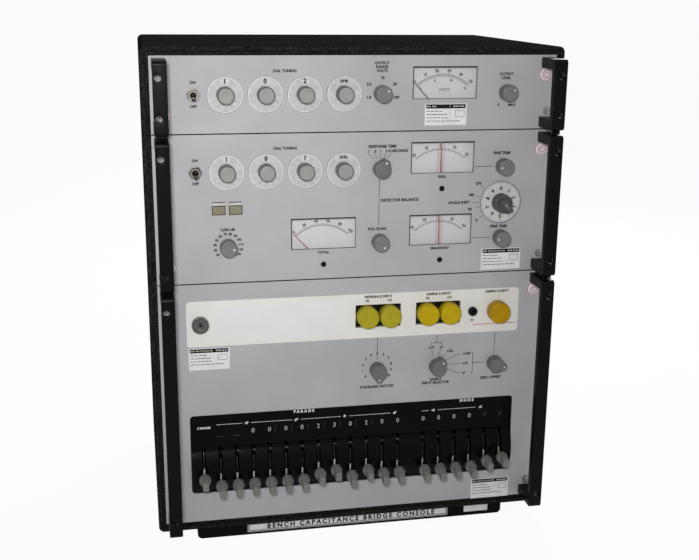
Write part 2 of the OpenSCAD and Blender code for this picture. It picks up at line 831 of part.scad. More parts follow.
module terminal_strip() {
    strip_r = 4;
    color("#d9d2b8") difference() {
        place(0, strip_row) slab(strip_y, panel_y) rounded(strip_w, strip_h, strip_r);
        for (x = RECESSES) place(x, strip_row) slab(strip_y - eps, panel_y + eps)
            square([recess_w, recess_h], center = true);
        place(jack_x, strip_row) rod(jack_body_d + fit, strip_y - eps, panel_y + eps);
        place(plug_x, strip_row) rod(plug_neck_d + fit, strip_y - eps, panel_y + eps);
    }
}

module coaxial_terminals() {
    flange_t = 4;
    flange_w = 5;
    block_back = panel_back + flange_t;
    color("#19191a") {
        for (x = RECESSES) place(x, strip_row) {
            slab(recess_y, block_back) square([recess_w - fit, recess_h - fit], center = true);
            slab(panel_back, block_back) square([recess_w + 2 * flange_w, recess_h + 2 * flange_w], center = true);
        }
        for (t = TERMINALS) place(t[0], strip_row) sleeve(t[1] - seat);
        place(jack_x, strip_row) difference() {
            union() {
                rod(jack_d, strip_y - jack_flange_h, strip_y);
                rod(jack_body_d, strip_y - eps, strip_y + jack_depth);
            }
            rod(jack_bore_d, strip_y - jack_flange_h - eps, strip_y - jack_flange_h + jack_depth);
        }
    }
}

// A coaxial terminal: a sleeve with a contact pin, on a face that looks along -Y
module sleeve(face) {
    bore_d = sleeve_d - 2 * sleeve_wall;
    floor_t = 3;
    pin_d = 3;
    pin_inset = 2;
    difference() {
        rod(sleeve_d, face - sleeve_l, face);
        rod(bore_d, face - sleeve_l - eps, face - floor_t);
    }
    rod(pin_d, face - sleeve_l + pin_inset, face - floor_t + eps);
}

module dust_caps() {
    color("#e3c21f") for (t = TERMINALS) place(t[0], strip_row) difference() {
        end = t[1] - seat - sleeve_l;
        rod(cap_d, end - cap_end, t[1] - cap_gap);
        rod(sleeve_d + fit, end, t[1]);
    }
}

// Levers and their housing

module lever_housing() {
    plate_y = panel_y + plate_inset;
    plate_back = panel_back + plate_flange_t;
    inner_x = window_w / 2 - fit;
    cheek_t = 3;
    past_guide = 20;
    color("#141415") difference() {
        union() {
            place(0, window_row) {
                slab(plate_y, plate_back) rounded(window_w - 2 * fit, window_h - 2 * fit, window_r - fit);
                slab(panel_back, plate_back) lever_flange(0);
            }
            lever_guide(inner_x);
            place(0, axle_row + guide_chord + rib_h / 2) slab(panel_y - rib_proud, plate_y + eps)
                square([2 * inner_x, rib_h], center = true);
            for (side = [-1, 1]) translate([side * (inner_x - cheek_t / 2), 0, 0]) cheek(cheek_t, plate_back);
        }
        translate([0, axle_y, axle_row]) {
            cross_rod(2 * guide_in_r, -inner_x + cheek_t, inner_x - cheek_t);
            cross_rod(axle_d + fit / 4, -window_w, window_w);
            for (l = LEVERS) translate([l[1], 0, 0]) wedge(guide_r + past_guide, slot_half, slot_top, slot_w);
        }
    }
}

// Outline of the lever plate's flange, with a clearance round it
module lever_flange(clear) {
    w = window_w + 2 * (plate_flange_w + clear);
    h = window_h + 2 * (plate_flange_w + clear);
    square([w, h], center = true);
}

// The bulging front of the lever guide, as a slice of a cylinder about the axle
module lever_guide(inner_x) {
    low = max(axle_row - guide_chord, window_row - window_h / 2 + fit);
    intersection() {
        translate([0, axle_y, axle_row]) cross_rod(2 * guide_r, -inner_x, inner_x);
        translate([-inner_x, panel_y - guide_bulge - eps, low])
            cube([2 * inner_x, guide_bulge + eps + panel_t, axle_row + guide_chord - low]);
    }
}

// An end cheek that carries the axle
module cheek(t, plate_back) {
    half_h = 14;
    translate([-t / 2, plate_back - eps, axle_row - half_h])
        cube([t, axle_y + half_h - plate_back + eps, 2 * half_h]);
}

// A flat wedge about the axle, opening towards the front, from an angle below level to one above it
module wedge(r, below, above, t) {
    rotate([90, 0, -90]) translate([0, 0, -t / 2]) linear_extrude(t)
        polygon([[0, 0], [r, r * tan(above)], [r, -r * tan(below)]]);
}

// One lever at its rest angle: hub, steel sector, stem and grey knob
module lever(l) {
    knob_r = guide_r + stem_show;
    blade_l = lever_knob_l - knob_base_l;
    stem_sunk = 2;
    stem_root = 8;
    color("#8d8f8a") translate([l[1], axle_y, axle_row]) rotate([-lever_angle(l[2]), 0, 0]) {
        difference() {
            union() {
                cross_rod(axle_d + 2 * hub_wall, -hub_w / 2, hub_w / 2);
                intersection() {
                    cross_rod(2 * sector_r, -sector_t / 2, sector_t / 2);
                    wedge(2 * sector_r, sector_half, sector_half, sector_t);
                }
                rod(stem_d, -knob_r - stem_sunk, -sector_r + stem_root);
            }
            cross_rod(axle_d + 2 * shaft_fit, -hub_w, hub_w);
        }
        rod(lever_knob_d, -knob_r - knob_base_l, -knob_r);
        intersection() {
            rotate([90, 0, 0]) translate([0, 0, knob_r + knob_base_l - eps])
                cylinder(d1 = lever_knob_d, d2 = blade_tip_d, h = blade_l + eps);
            translate([-blade_w / 2, -knob_r - lever_knob_l, -lever_knob_d])
                cube([blade_w, lever_knob_l, 2 * lever_knob_d]);
        }
    }
}

// Chassis: trays, control bodies with their bushings, and the lever axle

module instrument_chassis() {
    axle_half = window_w / 2 - fit;
    color("#9a9c9e") {
        for (p = PANELS) tray(p);
        for (d = DIALS) place(d[1], d[2]) control_body(switch_d, bushing_d, bushing_bore);
        for (k = KNOBS) place(k[1], k[2]) control_body(pot_d, bushing_d, bushing_bore);
        place(phase_x, phase_row) control_body(switch_d, phase_bushing_d, quill_bore);
        for (t = TOGGLES) place(toggle_x, t[1]) toggle_body();
        translate([0, axle_y, axle_row]) cross_rod(axle_d, -axle_half, axle_half);
        for (p = [PANELS[0], PANELS[1]]) {
            tray_place(p, transformer_x, inside_y) power_transformer();
            tray_place(p, board_x, inside_y) circuit_board();
        }
        tray_place(PANELS[2], toroid_x, inside_y + toroid_d / 2) ratio_transformer();
        for (i = [0:2]) tray_place(PANELS[2], can_x + i * (can_d + can_gap), inside_y + can_d)
            cylinder(d = can_d, h = can_h);
    }
}

// Moves a shape to a spot on a panel's tray, a hair above the sheet
module tray_place(p, x, y) {
    translate([x, y, tray_level(p) + tray_sheet + seat]) children();
}

module power_transformer() {
    translate([-core_w / 2, 0, 0]) cube([core_w, core_l, core_h]);
    translate([-coil_w / 2, 0, 0]) cube([coil_w, core_l, coil_h]);
}

// A board that stands on four posts
module circuit_board() {
    translate([-board_w / 2, 0, post_h]) cube([board_w, board_l, board_t]);
    for (x = [-1, 1], y = [-1, 1])
        translate([x * (board_w / 2 - post_d), board_l / 2 + y * (board_l / 2 - post_d), 0])
            cylinder(d = post_d, h = post_h + eps);
}

// A wound ring, the bridge's ratio transformer
module ratio_transformer() {
    difference() {
        cylinder(d = toroid_d, h = toroid_h);
        translate([0, 0, -eps]) cylinder(d = toroid_bore_d, h = toroid_h + 2 * eps);
    }
}

// A tray that hangs behind a panel on a low flange
module tray(p) {
    flange_h = 5;
    translate([-tray_w / 2, panel_back, tray_level(p)]) {
        cube([tray_w, tray_l, tray_sheet]);
        cube([tray_w, tray_sheet, flange_h]);
    }
}

module control_body(d, neck_d, bore_d) {
    difference() {
        union() {
            rod(d, panel_back, panel_back + control_l);
            rod(neck_d, panel_y, panel_back + eps);
        }
        rod(bore_d, panel_y - eps, bore_end);
    }
}

module toggle_body() {
    w = 13;
    h = 26;
    difference() {
        union() {
            slab(panel_back, panel_back + control_l) square([w, h], center = true);
            rod(toggle_bushing_d, panel_y - toggle_proud, panel_back + eps);
        }
        rod(toggle_bore_d, panel_y - toggle_proud - eps, panel_back);
    }
}

// Dials, knobs, toggles and needles

module dial(d) {
    disc_gap = 0.8;
    disc_y = panel_y - mask_h + mask_t + disc_gap;
    disc_d = mask_d - 2 * (mask_wall + disc_gap);
    color("#cfd0cd") place(d[1], d[2]) {
        rod(disc_d, disc_y, disc_y + disc_t);
        rod(dial_knob_d, panel_y - dial_knob_h, disc_y + disc_t);
        rod(shaft_d, disc_y, shaft_end);
    }
}

module knob(k) {
    back = panel_y - knob_gap;
    front = back - knob_h;
    color("#77787a") place(k[1], k[2]) rotate([0, k[4], 0]) {
        difference() {
            union() {
                rod(knob_d, front, back);
                if (k[3]) slab(front, back) nose();
                rod(shaft_d, back - eps, shaft_end);
            }
            place(0, (k[3] ? nose_reach : knob_d / 2) - dot_inset) rod(dot_d, front - eps, front + eps);
        }
    }
}

// A pointer knob's nose: straight flanks that leave the round body as tangents
module nose() {
    r = knob_d / 2;
    lean = acos(r / nose_full);
    flank = [r * sin(lean), r * cos(lean)];
    tip = (nose_full - nose_reach) * flank[0] / (nose_full - flank[1]);
    polygon([[-flank[0], flank[1]], [-tip, nose_reach], [tip, nose_reach], [flank[0], flank[1]]]);
}

module phase_dial() {
    back = panel_y - knob_gap;
    front = back - phase_disc_t - phase_hub_h;
    quill_short = 6;
    color("#d5d6d3") place(phase_x, phase_row) difference() {
        union() {
            rod(phase_dial_d, back - phase_disc_t, back);
            rod(phase_hub_d, front, back);
            rod(quill_d, back - eps, shaft_end - quill_short);
        }
        rod(bushing_bore, front - eps, shaft_end);
    }
}

module phase_knob() {
    back = panel_y - knob_gap - phase_disc_t - phase_hub_h - fit;
    front = back - phase_bar_h;
    bar_w = 7;
    bar_short = 3;
    boss_d = 16;
    color("#5f6062") place(phase_x, phase_row) rotate([0, phase_knob_turn, 0]) {
        rod(boss_d, front + phase_bar_h / 2, back);
        slab(front, back) translate([-bar_w / 2, bar_short - phase_hub_d / 2])
            square([bar_w, phase_hub_d - bar_short]);
        rod(shaft_d, back - eps, shaft_end);
    }
}

module toggle(t) {
    root_d = 2.8;
    tip_d = 5;
    color("#d6d3c8") translate([toggle_x, toggle_pivot_y, t[1]]) rotate([toggle_swing / 2, 0, 0]) {
        sphere(d = toggle_ball_d);
        rotate([90, 0, 0]) cylinder(d1 = root_d, d2 = tip_d, h = bat_l);
    }
}

module needle(m) {
    hub_d = 7;
    hub_t = 2;
    blade_t = 0.8;
    bore_d = needle_pin_d + 2 * shaft_fit;
    hub_y = panel_back + 2;
    color("#26262a") place(m[1], pivot_z(m)) rotate([0, m[3], 0]) difference() {
        union() {
            rod(hub_d, hub_y, hub_y + hub_t);
            slab(hub_y, hub_y + blade_t)
                polygon([[-1, -needle_tail], [-0.4, needle_l], [0.4, needle_l], [1, -needle_tail]]);
        }
        rod(bore_d, hub_y - eps, hub_y + hub_t + eps);
    }
}

// What is drawn

cabinet_shell();
rear_cover();
foot_bars();
oscillator_panel();
detector_panel();
bridge_panel();
rack_handles();
panel_screws();
meter_cases();
window_panes();
terminal_strip();
coaxial_terminals();
dust_caps();
lever_housing();
instrument_chassis();
phase_dial();
phase_knob();
for (k = KNOBS) knob(k);
for (d = DIALS) dial(d);
for (t = TOGGLES) toggle(t);
for (m = METERS) needle(m);
for (l = LEVERS) lever(l);
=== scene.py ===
# %% [markdown]
# # A bench capacitance console, dressed for the camera
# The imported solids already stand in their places, in metres, with the panels facing -Y.
# This lesson gives them rounded edges, finishes, lettering and the small pieces that solids leave out.
# Each step says what the piece is on the real console, how it could be made, and why this way was taken.

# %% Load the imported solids
import json
import math

import bpy
from mathutils import Matrix, Vector


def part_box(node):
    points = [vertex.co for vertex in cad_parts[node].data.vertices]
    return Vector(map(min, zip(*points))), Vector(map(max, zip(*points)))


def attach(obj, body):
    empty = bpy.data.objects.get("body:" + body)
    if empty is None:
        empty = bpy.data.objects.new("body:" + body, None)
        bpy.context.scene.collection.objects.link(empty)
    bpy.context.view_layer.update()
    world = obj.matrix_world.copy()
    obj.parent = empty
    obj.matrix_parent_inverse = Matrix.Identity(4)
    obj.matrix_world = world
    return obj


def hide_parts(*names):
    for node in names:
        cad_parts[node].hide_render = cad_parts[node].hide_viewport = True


MM = 0.001
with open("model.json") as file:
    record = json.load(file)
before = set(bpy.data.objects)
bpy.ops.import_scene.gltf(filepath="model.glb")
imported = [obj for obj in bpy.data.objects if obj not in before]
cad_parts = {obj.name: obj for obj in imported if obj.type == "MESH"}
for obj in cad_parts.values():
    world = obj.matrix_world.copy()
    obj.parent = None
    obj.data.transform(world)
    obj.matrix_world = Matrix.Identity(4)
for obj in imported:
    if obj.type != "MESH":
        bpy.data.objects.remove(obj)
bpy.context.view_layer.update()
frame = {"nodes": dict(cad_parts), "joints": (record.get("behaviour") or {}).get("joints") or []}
pivot = {joint["child"]: Vector(joint["pos_m"]) / MM for joint in frame["joints"]}
panel_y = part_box("bridge_panel")[0].y / MM
strip_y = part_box("terminal_strip")[0].y / MM

# %% [markdown]
# ## Camera
# The photograph was taken from the left, a little above the console's top edge, with a mild roll.
# A camera can be aimed by a Track To constraint or by angles. Angles are used, because they were measured.
# The turn is built up as a person would do it: face along the yaw, tip down by the pitch, then roll.

# %% Camera
CAMERA_AT = (-257.0, -1366.0, 677.4)
CAMERA_YAW = 11.45
CAMERA_PITCH = 15.30
CAMERA_ROLL = 0.57
FOCAL_PIXELS = 1056.0
IMAGE_PIXELS = 699.0
SENSOR = 36.0

bpy.ops.object.camera_add(location=Vector(CAMERA_AT) * MM)
camera = bpy.context.object
yaw = Matrix.Rotation(math.radians(-CAMERA_YAW), 3, "Z")
pitch = Matrix.Rotation(math.radians(90 - CAMERA_PITCH), 3, "X")
roll = Matrix.Rotation(math.radians(CAMERA_ROLL), 3, "Z")
camera.rotation_euler = (yaw @ pitch @ roll).to_euler()
camera.data.sensor_width = SENSOR
camera.data.lens = FOCAL_PIXELS * SENSOR / IMAGE_PIXELS
bpy.context.scene.camera = camera
bpy.context.scene.view_settings.view_transform = "Standard"
print("lens", round(camera.data.lens, 2), "mm")

# %% [markdown]
# ## Light and world
# A flash just above the lens, aimed at the upper left, lit the console. So that corner is the brightest,
# fronts are brighter than sides, and shadows are short. A small lamp with a narrow spread gives that falloff.
# A large lamp behind lights the back, and the world adds an even fill and shows as plain white to the camera.

# %% Light and world
FLASH_AT = (-315, -1385, 790)
FLASH_AIM = (-155, -146, 485)
FLASH_SIZE = 0.16
FLASH_SPREAD = 84
FLASH_POWER = 2.65
BACK_AT = (700, 1500, 1300)
BACK_AIM = (0, 190, 320)
BACK_SIZE = 1.0
BACK_POWER = 36
FILL = 0.22
FILL_COLOUR = (0.99, 0.99, 1.0, 1.0)


def area_lamp(at, target, size, power, spread=180):
    """A square lamp that looks at a point. Places are in millimetres, the size is in metres."""
    bpy.ops.object.light_add(type="AREA", location=Vector(at) * MM)
    lamp = bpy.context.object
    lamp.data.size = size
    lamp.data.energy = power
    lamp.data.spread = math.radians(spread)
    lamp.rotation_euler = (Vector(target) * MM - lamp.location).to_track_quat("-Z", "Y").to_euler()


def add_node(tree, kind, **values):
    """A new shader node, with values set on its inputs by their names."""
    node = tree.nodes.new("ShaderNode" + kind)
    for name, value in values.items():
        node.inputs[name].default_value = value
    return node


def maths(tree, operation, first, second):
    """A Math node on two values, the second of which may be a plain number."""
    node = add_node(tree, "Math")
    node.operation = operation
    tree.links.new(first, node.inputs[0])
    if isinstance(second, float):
        node.inputs[1].default_value = second
    else:
        tree.links.new(second, node.inputs[1])
    return node.outputs[0]


def seen_directly(tree):
    """One for rays from the camera, from a mirror or through glass, and zero for rays that light things."""
    path = add_node(tree, "LightPath")
    shiny = maths(tree, "MAXIMUM", path.outputs["Is Glossy Ray"], path.outputs["Is Transmission Ray"])
    return maths(tree, "MAXIMUM", shiny, path.outputs["Is Camera Ray"])


def end_with_mix(tree, share, lighting, shown, end):
    """Mixes the shader that lights things with the one that is seen, and ends the tree with the mix."""
    mix = add_node(tree, "MixShader")
    for source, socket in zip((share, lighting.outputs[0], shown.outputs[0]), mix.inputs):
        tree.links.new(source, socket)
    tree.links.new(mix.outputs[0], tree.nodes[end].inputs["Surface"])


area_lamp(FLASH_AT, FLASH_AIM, FLASH_SIZE, FLASH_POWER, FLASH_SPREAD)
area_lamp(BACK_AT, BACK_AIM, BACK_SIZE, BACK_POWER)

world = bpy.data.worlds.new("studio")
world.use_nodes = True
bpy.context.scene.world = world
sky = world.node_tree
fill = sky.nodes["Background"]
fill.inputs["Color"].default_value = FILL_COLOUR
fill.inputs["Strength"].default_value = FILL
white = add_node(sky, "Background", Color=(1.0, 1.0, 1.0, 1.0), Strength=1.0)
end_with_mix(sky, seen_directly(sky), fill, white, "World Output")
print("flash", FLASH_POWER, "W, fill", FILL)

# %% [markdown]
# ## Floor and backdrop
# The console stands on a white sweep: a floor that curves up into a wall, so no horizon shows.
# A plane is extruded up along its back edge, and the fold is bevelled into a curve.
# The sweep glows to the camera, which keeps it white, and still takes the console's shadow.

# %% Floor and backdrop
SWEEP_WIDTH = 9.0
SWEEP_BACK = 3.0
SWEEP_WALL = 5.0
SWEEP_FOLD = 1.2
SWEEP_GLOW = 0.95
SWEEP_STEPS = 16
PAPER_COLOUR = (0.88, 0.88, 0.88, 1.0)
PAPER_ROUGH = 0.9


def deselect():
    bpy.ops.object.select_all(action="DESELECT")


def take_all():
    bpy.ops.mesh.select_all(action="SELECT")


def enter_edit():
    bpy.ops.object.mode_set(mode="EDIT")


def activate(piece):
    deselect()
    piece.select_set(True)
    bpy.context.view_layer.objects.active = piece


def edit(piece):
    activate(piece)
    enter_edit()


def leave_edit():
    bpy.ops.object.mode_set(mode="OBJECT")


def pick_edges(piece, wanted):
    """Selects the edges, and no others, whose two ends satisfy a test."""
    bpy.ops.mesh.select_mode(type="EDGE")
    bpy.ops.mesh.select_all(action="DESELECT")
    leave_edit()
    points = piece.data.vertices
    for edge in piece.data.edges:
        edge.select = all(wanted(points[end].co) for end in edge.vertices)
    enter_edit()


deselect()
bpy.ops.mesh.primitive_plane_add(size=SWEEP_WIDTH, location=(0, SWEEP_BACK - SWEEP_WIDTH / 2, 0))
sweep = bpy.context.object
bpy.ops.object.transform_apply()
edit(sweep)
pick_edges(sweep, lambda point: point.y > SWEEP_BACK - MM)
bpy.ops.mesh.extrude_region_move(TRANSFORM_OT_translate={"value": (0, 0, SWEEP_WALL)})
pick_edges(sweep, lambda point: point.y > SWEEP_BACK - MM and point.z < MM)
bpy.ops.mesh.bevel(offset=SWEEP_FOLD, segments=SWEEP_STEPS)
leave_edit()
bpy.ops.object.shade_smooth()
sweep.name = "sweep"

paper = bpy.data.materials.new("sweep_paper")
paper.use_nodes = True
tree = paper.node_tree
matt = tree.nodes["Principled BSDF"]
matt.inputs["Base Color"].default_value = PAPER_COLOUR
matt.inputs["Roughness"].default_value = PAPER_ROUGH
glow = add_node(tree, "Emission")
share = maths(tree, "MULTIPLY", seen_directly(tree), SWEEP_GLOW)
end_with_mix(tree, share, matt, glow, "Material Output")
sweep.data.materials.append(paper)
print("sweep", len(sweep.data.polygons), "faces")

# %% [markdown]
# ## How the finishes are made
# Enamel, moulded plastic, vinyl and plated steel all have three things: a colour that drifts a little,
# a gloss that isn't even, and a fine relief. Noise on the object's own coordinates can give all three.
# One helper sets up this base. The finishes then stand in tables, a row each, with these columns: the colour,
# the colour it drifts to, the patches' size, the roughness, the grain's size and its relief. Metal, shine and
# stretch follow where they aren't the usual ones. Colours go from 0 to 255, and sizes are in millimetres.

# %% Base finish
PATCH_DETAIL = 5.0
PATCH_SPAN = (0.35, 0.65)
GRAIN_DETAIL = 3.0
GRAIN_SPAN = (0.3, 0.7)
BUMP = 0.6
SHINE = 0.5
EVEN = (1, 1, 1)
look = {}


def srgb(red, green, blue):
    """A colour as a picture editor shows it, 0 to 255, made linear for the shader."""
    shares = [value / 255 for value in (red, green, blue)]
    return [s / 12.92 if s <= 0.04045 else ((s + 0.055) / 1.055) ** 2.4 for s in shares] + [1.0]


def grain_of(tree, size_mm, detail, stretch=EVEN):
    """Noise whose grains measure about size_mm, stretched along the axes."""
    place = add_node(tree, "TexCoord")
    frame_of = add_node(tree, "Mapping", Scale=stretch)
    noise = add_node(tree, "TexNoise", Scale=1 / (size_mm * MM), Detail=detail)
    tree.links.new(place.outputs["Object"], frame_of.inputs["Vector"])
    tree.links.new(frame_of.outputs["Vector"], noise.inputs["Vector"])
    return noise.outputs["Fac"]


def range_of(tree, value, span, to=(0.0, 1.0)):
    """Maps one span of a value on another, and holds it at the ends."""
    limits = zip(("From Min", "From Max", "To Min", "To Max"), (*span, *to))
    node = add_node(tree, "MapRange", **dict(limits))
    tree.links.new(value, node.inputs["Value"])
    return node.outputs["Result"]


def tint(tree, share, first, second):
    """A mix of two colours, where first may also be the output of another mix."""
    node = add_node(tree, "Mix")
    node.data_type = "RGBA"
    tree.links.new(share, node.inputs[0])
    if isinstance(first, list):
        node.inputs[6].default_value = first
    else:
        tree.links.new(first, node.inputs[6])
    node.inputs[7].default_value = second
    return node.outputs[2]


def shader_of(name):
    return look[name].node_tree.nodes["Principled BSDF"]


def finish(name, colour, drift, patch, rough, grain, relief, metal=0.0, shine=SHINE, stretch=EVEN):
    """A surface that drifts between two colours, with a grain that changes its gloss and height."""
    look[name] = bpy.data.materials.new(name)
    look[name].use_nodes = True
    tree = look[name].node_tree
    inputs = shader_of(name).inputs
    inputs["Metallic"].default_value = metal
    inputs["Specular IOR Level"].default_value = shine
    patches = range_of(tree, grain_of(tree, patch, PATCH_DETAIL), PATCH_SPAN)
    grains = grain_of(tree, grain, GRAIN_DETAIL, stretch)
    tree.links.new(tint(tree, patches, srgb(*colour), srgb(*drift)), inputs["Base Color"])
    tree.links.new(range_of(tree, grains, GRAIN_SPAN, rough), inputs["Roughness"])
    bump = add_node(tree, "Bump", Strength=BUMP, Distance=relief * MM)
    tree.links.new(grains, bump.inputs["Height"])
    tree.links.new(bump.outputs["Normal"], inputs["Normal"])


def finish_all(kind, rows):
    for name, row in rows.items():
        finish(name, *row)
    print(kind, "finishes", len(rows))


print("finish helpers ready")

# %% [markdown]
# ## Wear and painted highlights
# Hands and cloths rub paint thin along edges. Wear could be painted
# by hand, but the Pointiness of the mesh already finds the edges, so a second colour is laid over by it.
# The tops of a wrinkle get a painted highlight: a lighter colour where light would catch them.

# %% Worn paint and painted highlights
EDGE_SPAN = (0.53, 0.62)
RUB_GRAIN = 7.0
RUB_DETAIL = 6.0
RUB_SPAN = (0.4, 0.6)
RUB_SHARE = (0.25, 1.0)
CREST_HIGHLIGHT_SPAN = (0.48, 0.68)


def paint_over(name, share, colour):
    """Lays a second colour over the one that a finish has."""
    tree = look[name].node_tree
    base = shader_of(name).inputs["Base Color"]
    painted = base.links[0].from_socket
    tree.links.new(tint(tree, share, painted, srgb(*colour)), base)


def wear_edges(name, bare, amount):
    """Rubs the paint off the edges: Pointiness is high on them, and noise breaks the line up."""
    tree = look[name].node_tree
    edge = add_node(tree, "NewGeometry").outputs["Pointiness"]
    rubbed = range_of(tree, edge, EDGE_SPAN, (0.0, amount))
    broken = range_of(tree, grain_of(tree, RUB_GRAIN, RUB_DETAIL), RUB_SPAN, RUB_SHARE)
    paint_over(name, maths(tree, "MULTIPLY", rubbed, broken), bare)


def catch_crests(name, grain, colour):
    """Paints a highlight on the tops of a wrinkle, by the same noise that raises them."""
    tree = look[name].node_tree
    paint_over(name, range_of(tree, grain_of(tree, grain, GRAIN_DETAIL), CREST_HIGHLIGHT_SPAN), colour)


print("wear helpers ready")

# %% [markdown]
# ## Painted metal
# The cabinet has black wrinkle paint, which is rough and pebbled. The panels have light grey enamel with a
# fine eggshell skin, and the handles a satin black that is rubbed at the edges.
# The same base gives all of them: only the grain's size and height tell wrinkle from eggshell.

# %% Painted metal
WRINKLE = 1.5
NEEDLE_SKIN = (10, (0.4, 0.6), 0.3, 0.01, 0.0, 0.2)
finish_all("painted", {
    "wrinkle_black": ((22, 22, 22), (29, 29, 28), 45, (0.5, 0.7), WRINKLE, 0.2, 0.0, 0.0),
    "foot_black": ((8, 8, 8), (12, 12, 11), 30, (0.45, 0.7), 0.7, 0.05, 0.0, 0.04),
    "panel_enamel": ((179, 179, 181), (172, 172, 175), 60, (0.42, 0.58), 0.5, 0.02, 0.0, 0.3),
    "handle_satin": ((7, 7, 8), (10, 10, 11), 25, (0.26, 0.36), 0.35, 0.02, 0.0, 0.07),
    "housing_black": ((4, 4, 4), (6, 6, 6), 35, (0.26, 0.36), 0.4, 0.004, 0.0, 0.055),
    "strip_enamel": ((231, 229, 224), (226, 224, 218), 50, (0.4, 0.55), 0.5, 0.02, 0.0, 0.3),
    "needle_black": ((16, 16, 18), (24, 24, 26), *NEEDLE_SKIN),
    "needle_red": ((150, 34, 40), (126, 28, 34), *NEEDLE_SKIN),
    "sector_black": ((14, 14, 14), (22, 22, 21), 8, (0.35, 0.5), 0.3, 0.01, 0.0, 0.1),
})
# The wrinkle's tops get a painted highlight in a lighter grey.
catch_crests("wrinkle_black", WRINKLE, (60, 60, 59))
wear_edges("wrinkle_black", (78, 78, 76), 0.5)
wear_edges("handle_satin", (62, 62, 66), 0.4)

# %% [markdown]
# ## Bare and plated metal
# Screws, nuts, toggles and lever stems are plated steel, and the chassis inside is sheet alloy.
# Brushed metal has fine scratches in one direction, so the noise is stretched along X.

# %% Bare and plated metal
BRUSHED = (0.06, 1, 1)
finish_all("metal", {
    "screw_plating": ((150, 149, 146), (126, 125, 122), 4, (0.3, 0.5), 0.25, 0.01, 1.0, SHINE, BRUSHED),
    "nut_plating": ((122, 114, 107), (82, 76, 71), 3, (0.3, 0.46), 0.3, 0.004, 1.0),
    "toggle_plating": ((86, 79, 72), (60, 55, 50), 3, (0.16, 0.28), 0.3, 0.004, 1.0),
    "plug_steel": ((112, 111, 109), (92, 91, 90), 6, (0.28, 0.46), 0.3, 0.015, 1.0),
    "lever_steel": ((222, 222, 219), (204, 204, 201), 5, (0.2, 0.34), 0.3, 0.006, 1.0),
    # The sector's steel edge drifts into near-black patches: painted shade that breaks its line into glints.
    "edge_steel_patchy_shade": ((62, 62, 60), (10, 10, 10), 5, (0.3, 0.5), 0.3, 0.006, 1.0),
    # A bright, mostly non-metal finish for the rim near the stem: a painted glint.
    "edge_painted_glint": ((240, 240, 236), (176, 176, 172), 3, (0.4, 0.55), 0.3, 0.006, 0.2),
    "chassis_alloy": ((116, 114, 108), (100, 98, 93), 30, (0.4, 0.6), 0.4, 0.01, 1.0, SHINE, BRUSHED),
})

# %% [markdown]
# ## Moulded plastic, vinyl, paper and ink
# Knobs and dials are moulded and slightly matt, dust caps are soft vinyl that lets a little light in,
# and panel lettering is ink. Clear panes and frosted masks get their see-through look from alpha, which an
# export keeps, where real refraction would need a thick, slow glass.

# %% Moulded plastic, paper and ink
KNOB_SKIN = (14, (0.26, 0.38), 0.35, 0.012, 0.0, 0.3)
INK_SKIN = (3, (0.5, 0.7), 0.2, 0.004, 0.0)
finish_all("moulded and printed", {
    "knob_grey": ((100, 100, 101), (92, 92, 93), *KNOB_SKIN),
    # The knob caps are lighter copies of the skirt's grey: painted light on fronts that face the lamp.
    "knob_cap_painted_light": ((120, 120, 120), (112, 112, 113), *KNOB_SKIN),
    "pointer_cap_painted_light": ((109, 109, 109), (101, 101, 102), *KNOB_SKIN),
    # The dial knobs' faces are lighter than their sides: partly a lighter face, partly painted light from the
    # lamp.
    "knob_face_with_painted_light": ((150, 151, 147), (142, 143, 139), 10, (0.3, 0.42), 0.3, 0.012, 0.0, 0.3),
    "lever_grey": ((124, 125, 120), (113, 114, 109), 9, (0.34, 0.5), 0.3, 0.02, 0.0, 0.3),
    "hub_grey": ((76, 76, 76), (66, 66, 67), 12, (0.36, 0.5), 0.35, 0.02, 0.0, 0.3),
    "dial_white": ((204, 204, 201), (198, 198, 195), 16, (0.4, 0.55), 0.35, 0.01, 0.0, 0.3),
    "case_black": ((12, 12, 13), (18, 18, 19), 20, (0.45, 0.6), 0.4, 0.02, 0.0, 0.1),
    "terminal_black": ((12, 12, 12), (18, 18, 18), 12, (0.28, 0.45), 0.4, 0.015, 0.0, 0.1),
    "lens_khaki": ((140, 133, 108), (128, 121, 98), 8, (0.25, 0.4), 1.2, 0.03, 0.0, 0.3),
    "card_white": ((216, 216, 216), (210, 210, 210), 25, (0.6, 0.75), 0.3, 0.01, 0.0, 0.2),
    "label_paper": ((234, 234, 236), (224, 224, 226), 12, (0.65, 0.85), 0.4, 0.03, 0.0, 0.2),
    "tag_cream": ((194, 193, 188), (186, 185, 180), 6, (0.5, 0.7), 0.4, 0.02, 0.0, 0.2),
    "plate_white": ((230, 230, 231), (226, 226, 227), 30, (0.35, 0.5), 0.4, 0.01, 0.0, 0.3),
    "seal_rose": ((190, 122, 138), (174, 104, 122), 4, (0.6, 0.8), 0.4, 0.02, 0.0, 0.2),
    "ink_black": ((11, 11, 13), (20, 20, 22), *INK_SKIN, 0.1),
    "ink_white": ((230, 230, 226), (218, 218, 215), *INK_SKIN, 0.3),
    "ink_dim": ((96, 96, 94), (80, 80, 79), *INK_SKIN, 0.1),
    "ink_red": ((182, 56, 66), (164, 48, 56), *INK_SKIN, 0.3),
})
wear_edges("knob_grey", (164, 164, 162), 0.4)
wear_edges("lever_grey", (186, 187, 180), 0.6)
wear_edges("hub_grey", (120, 120, 118), 0.4)

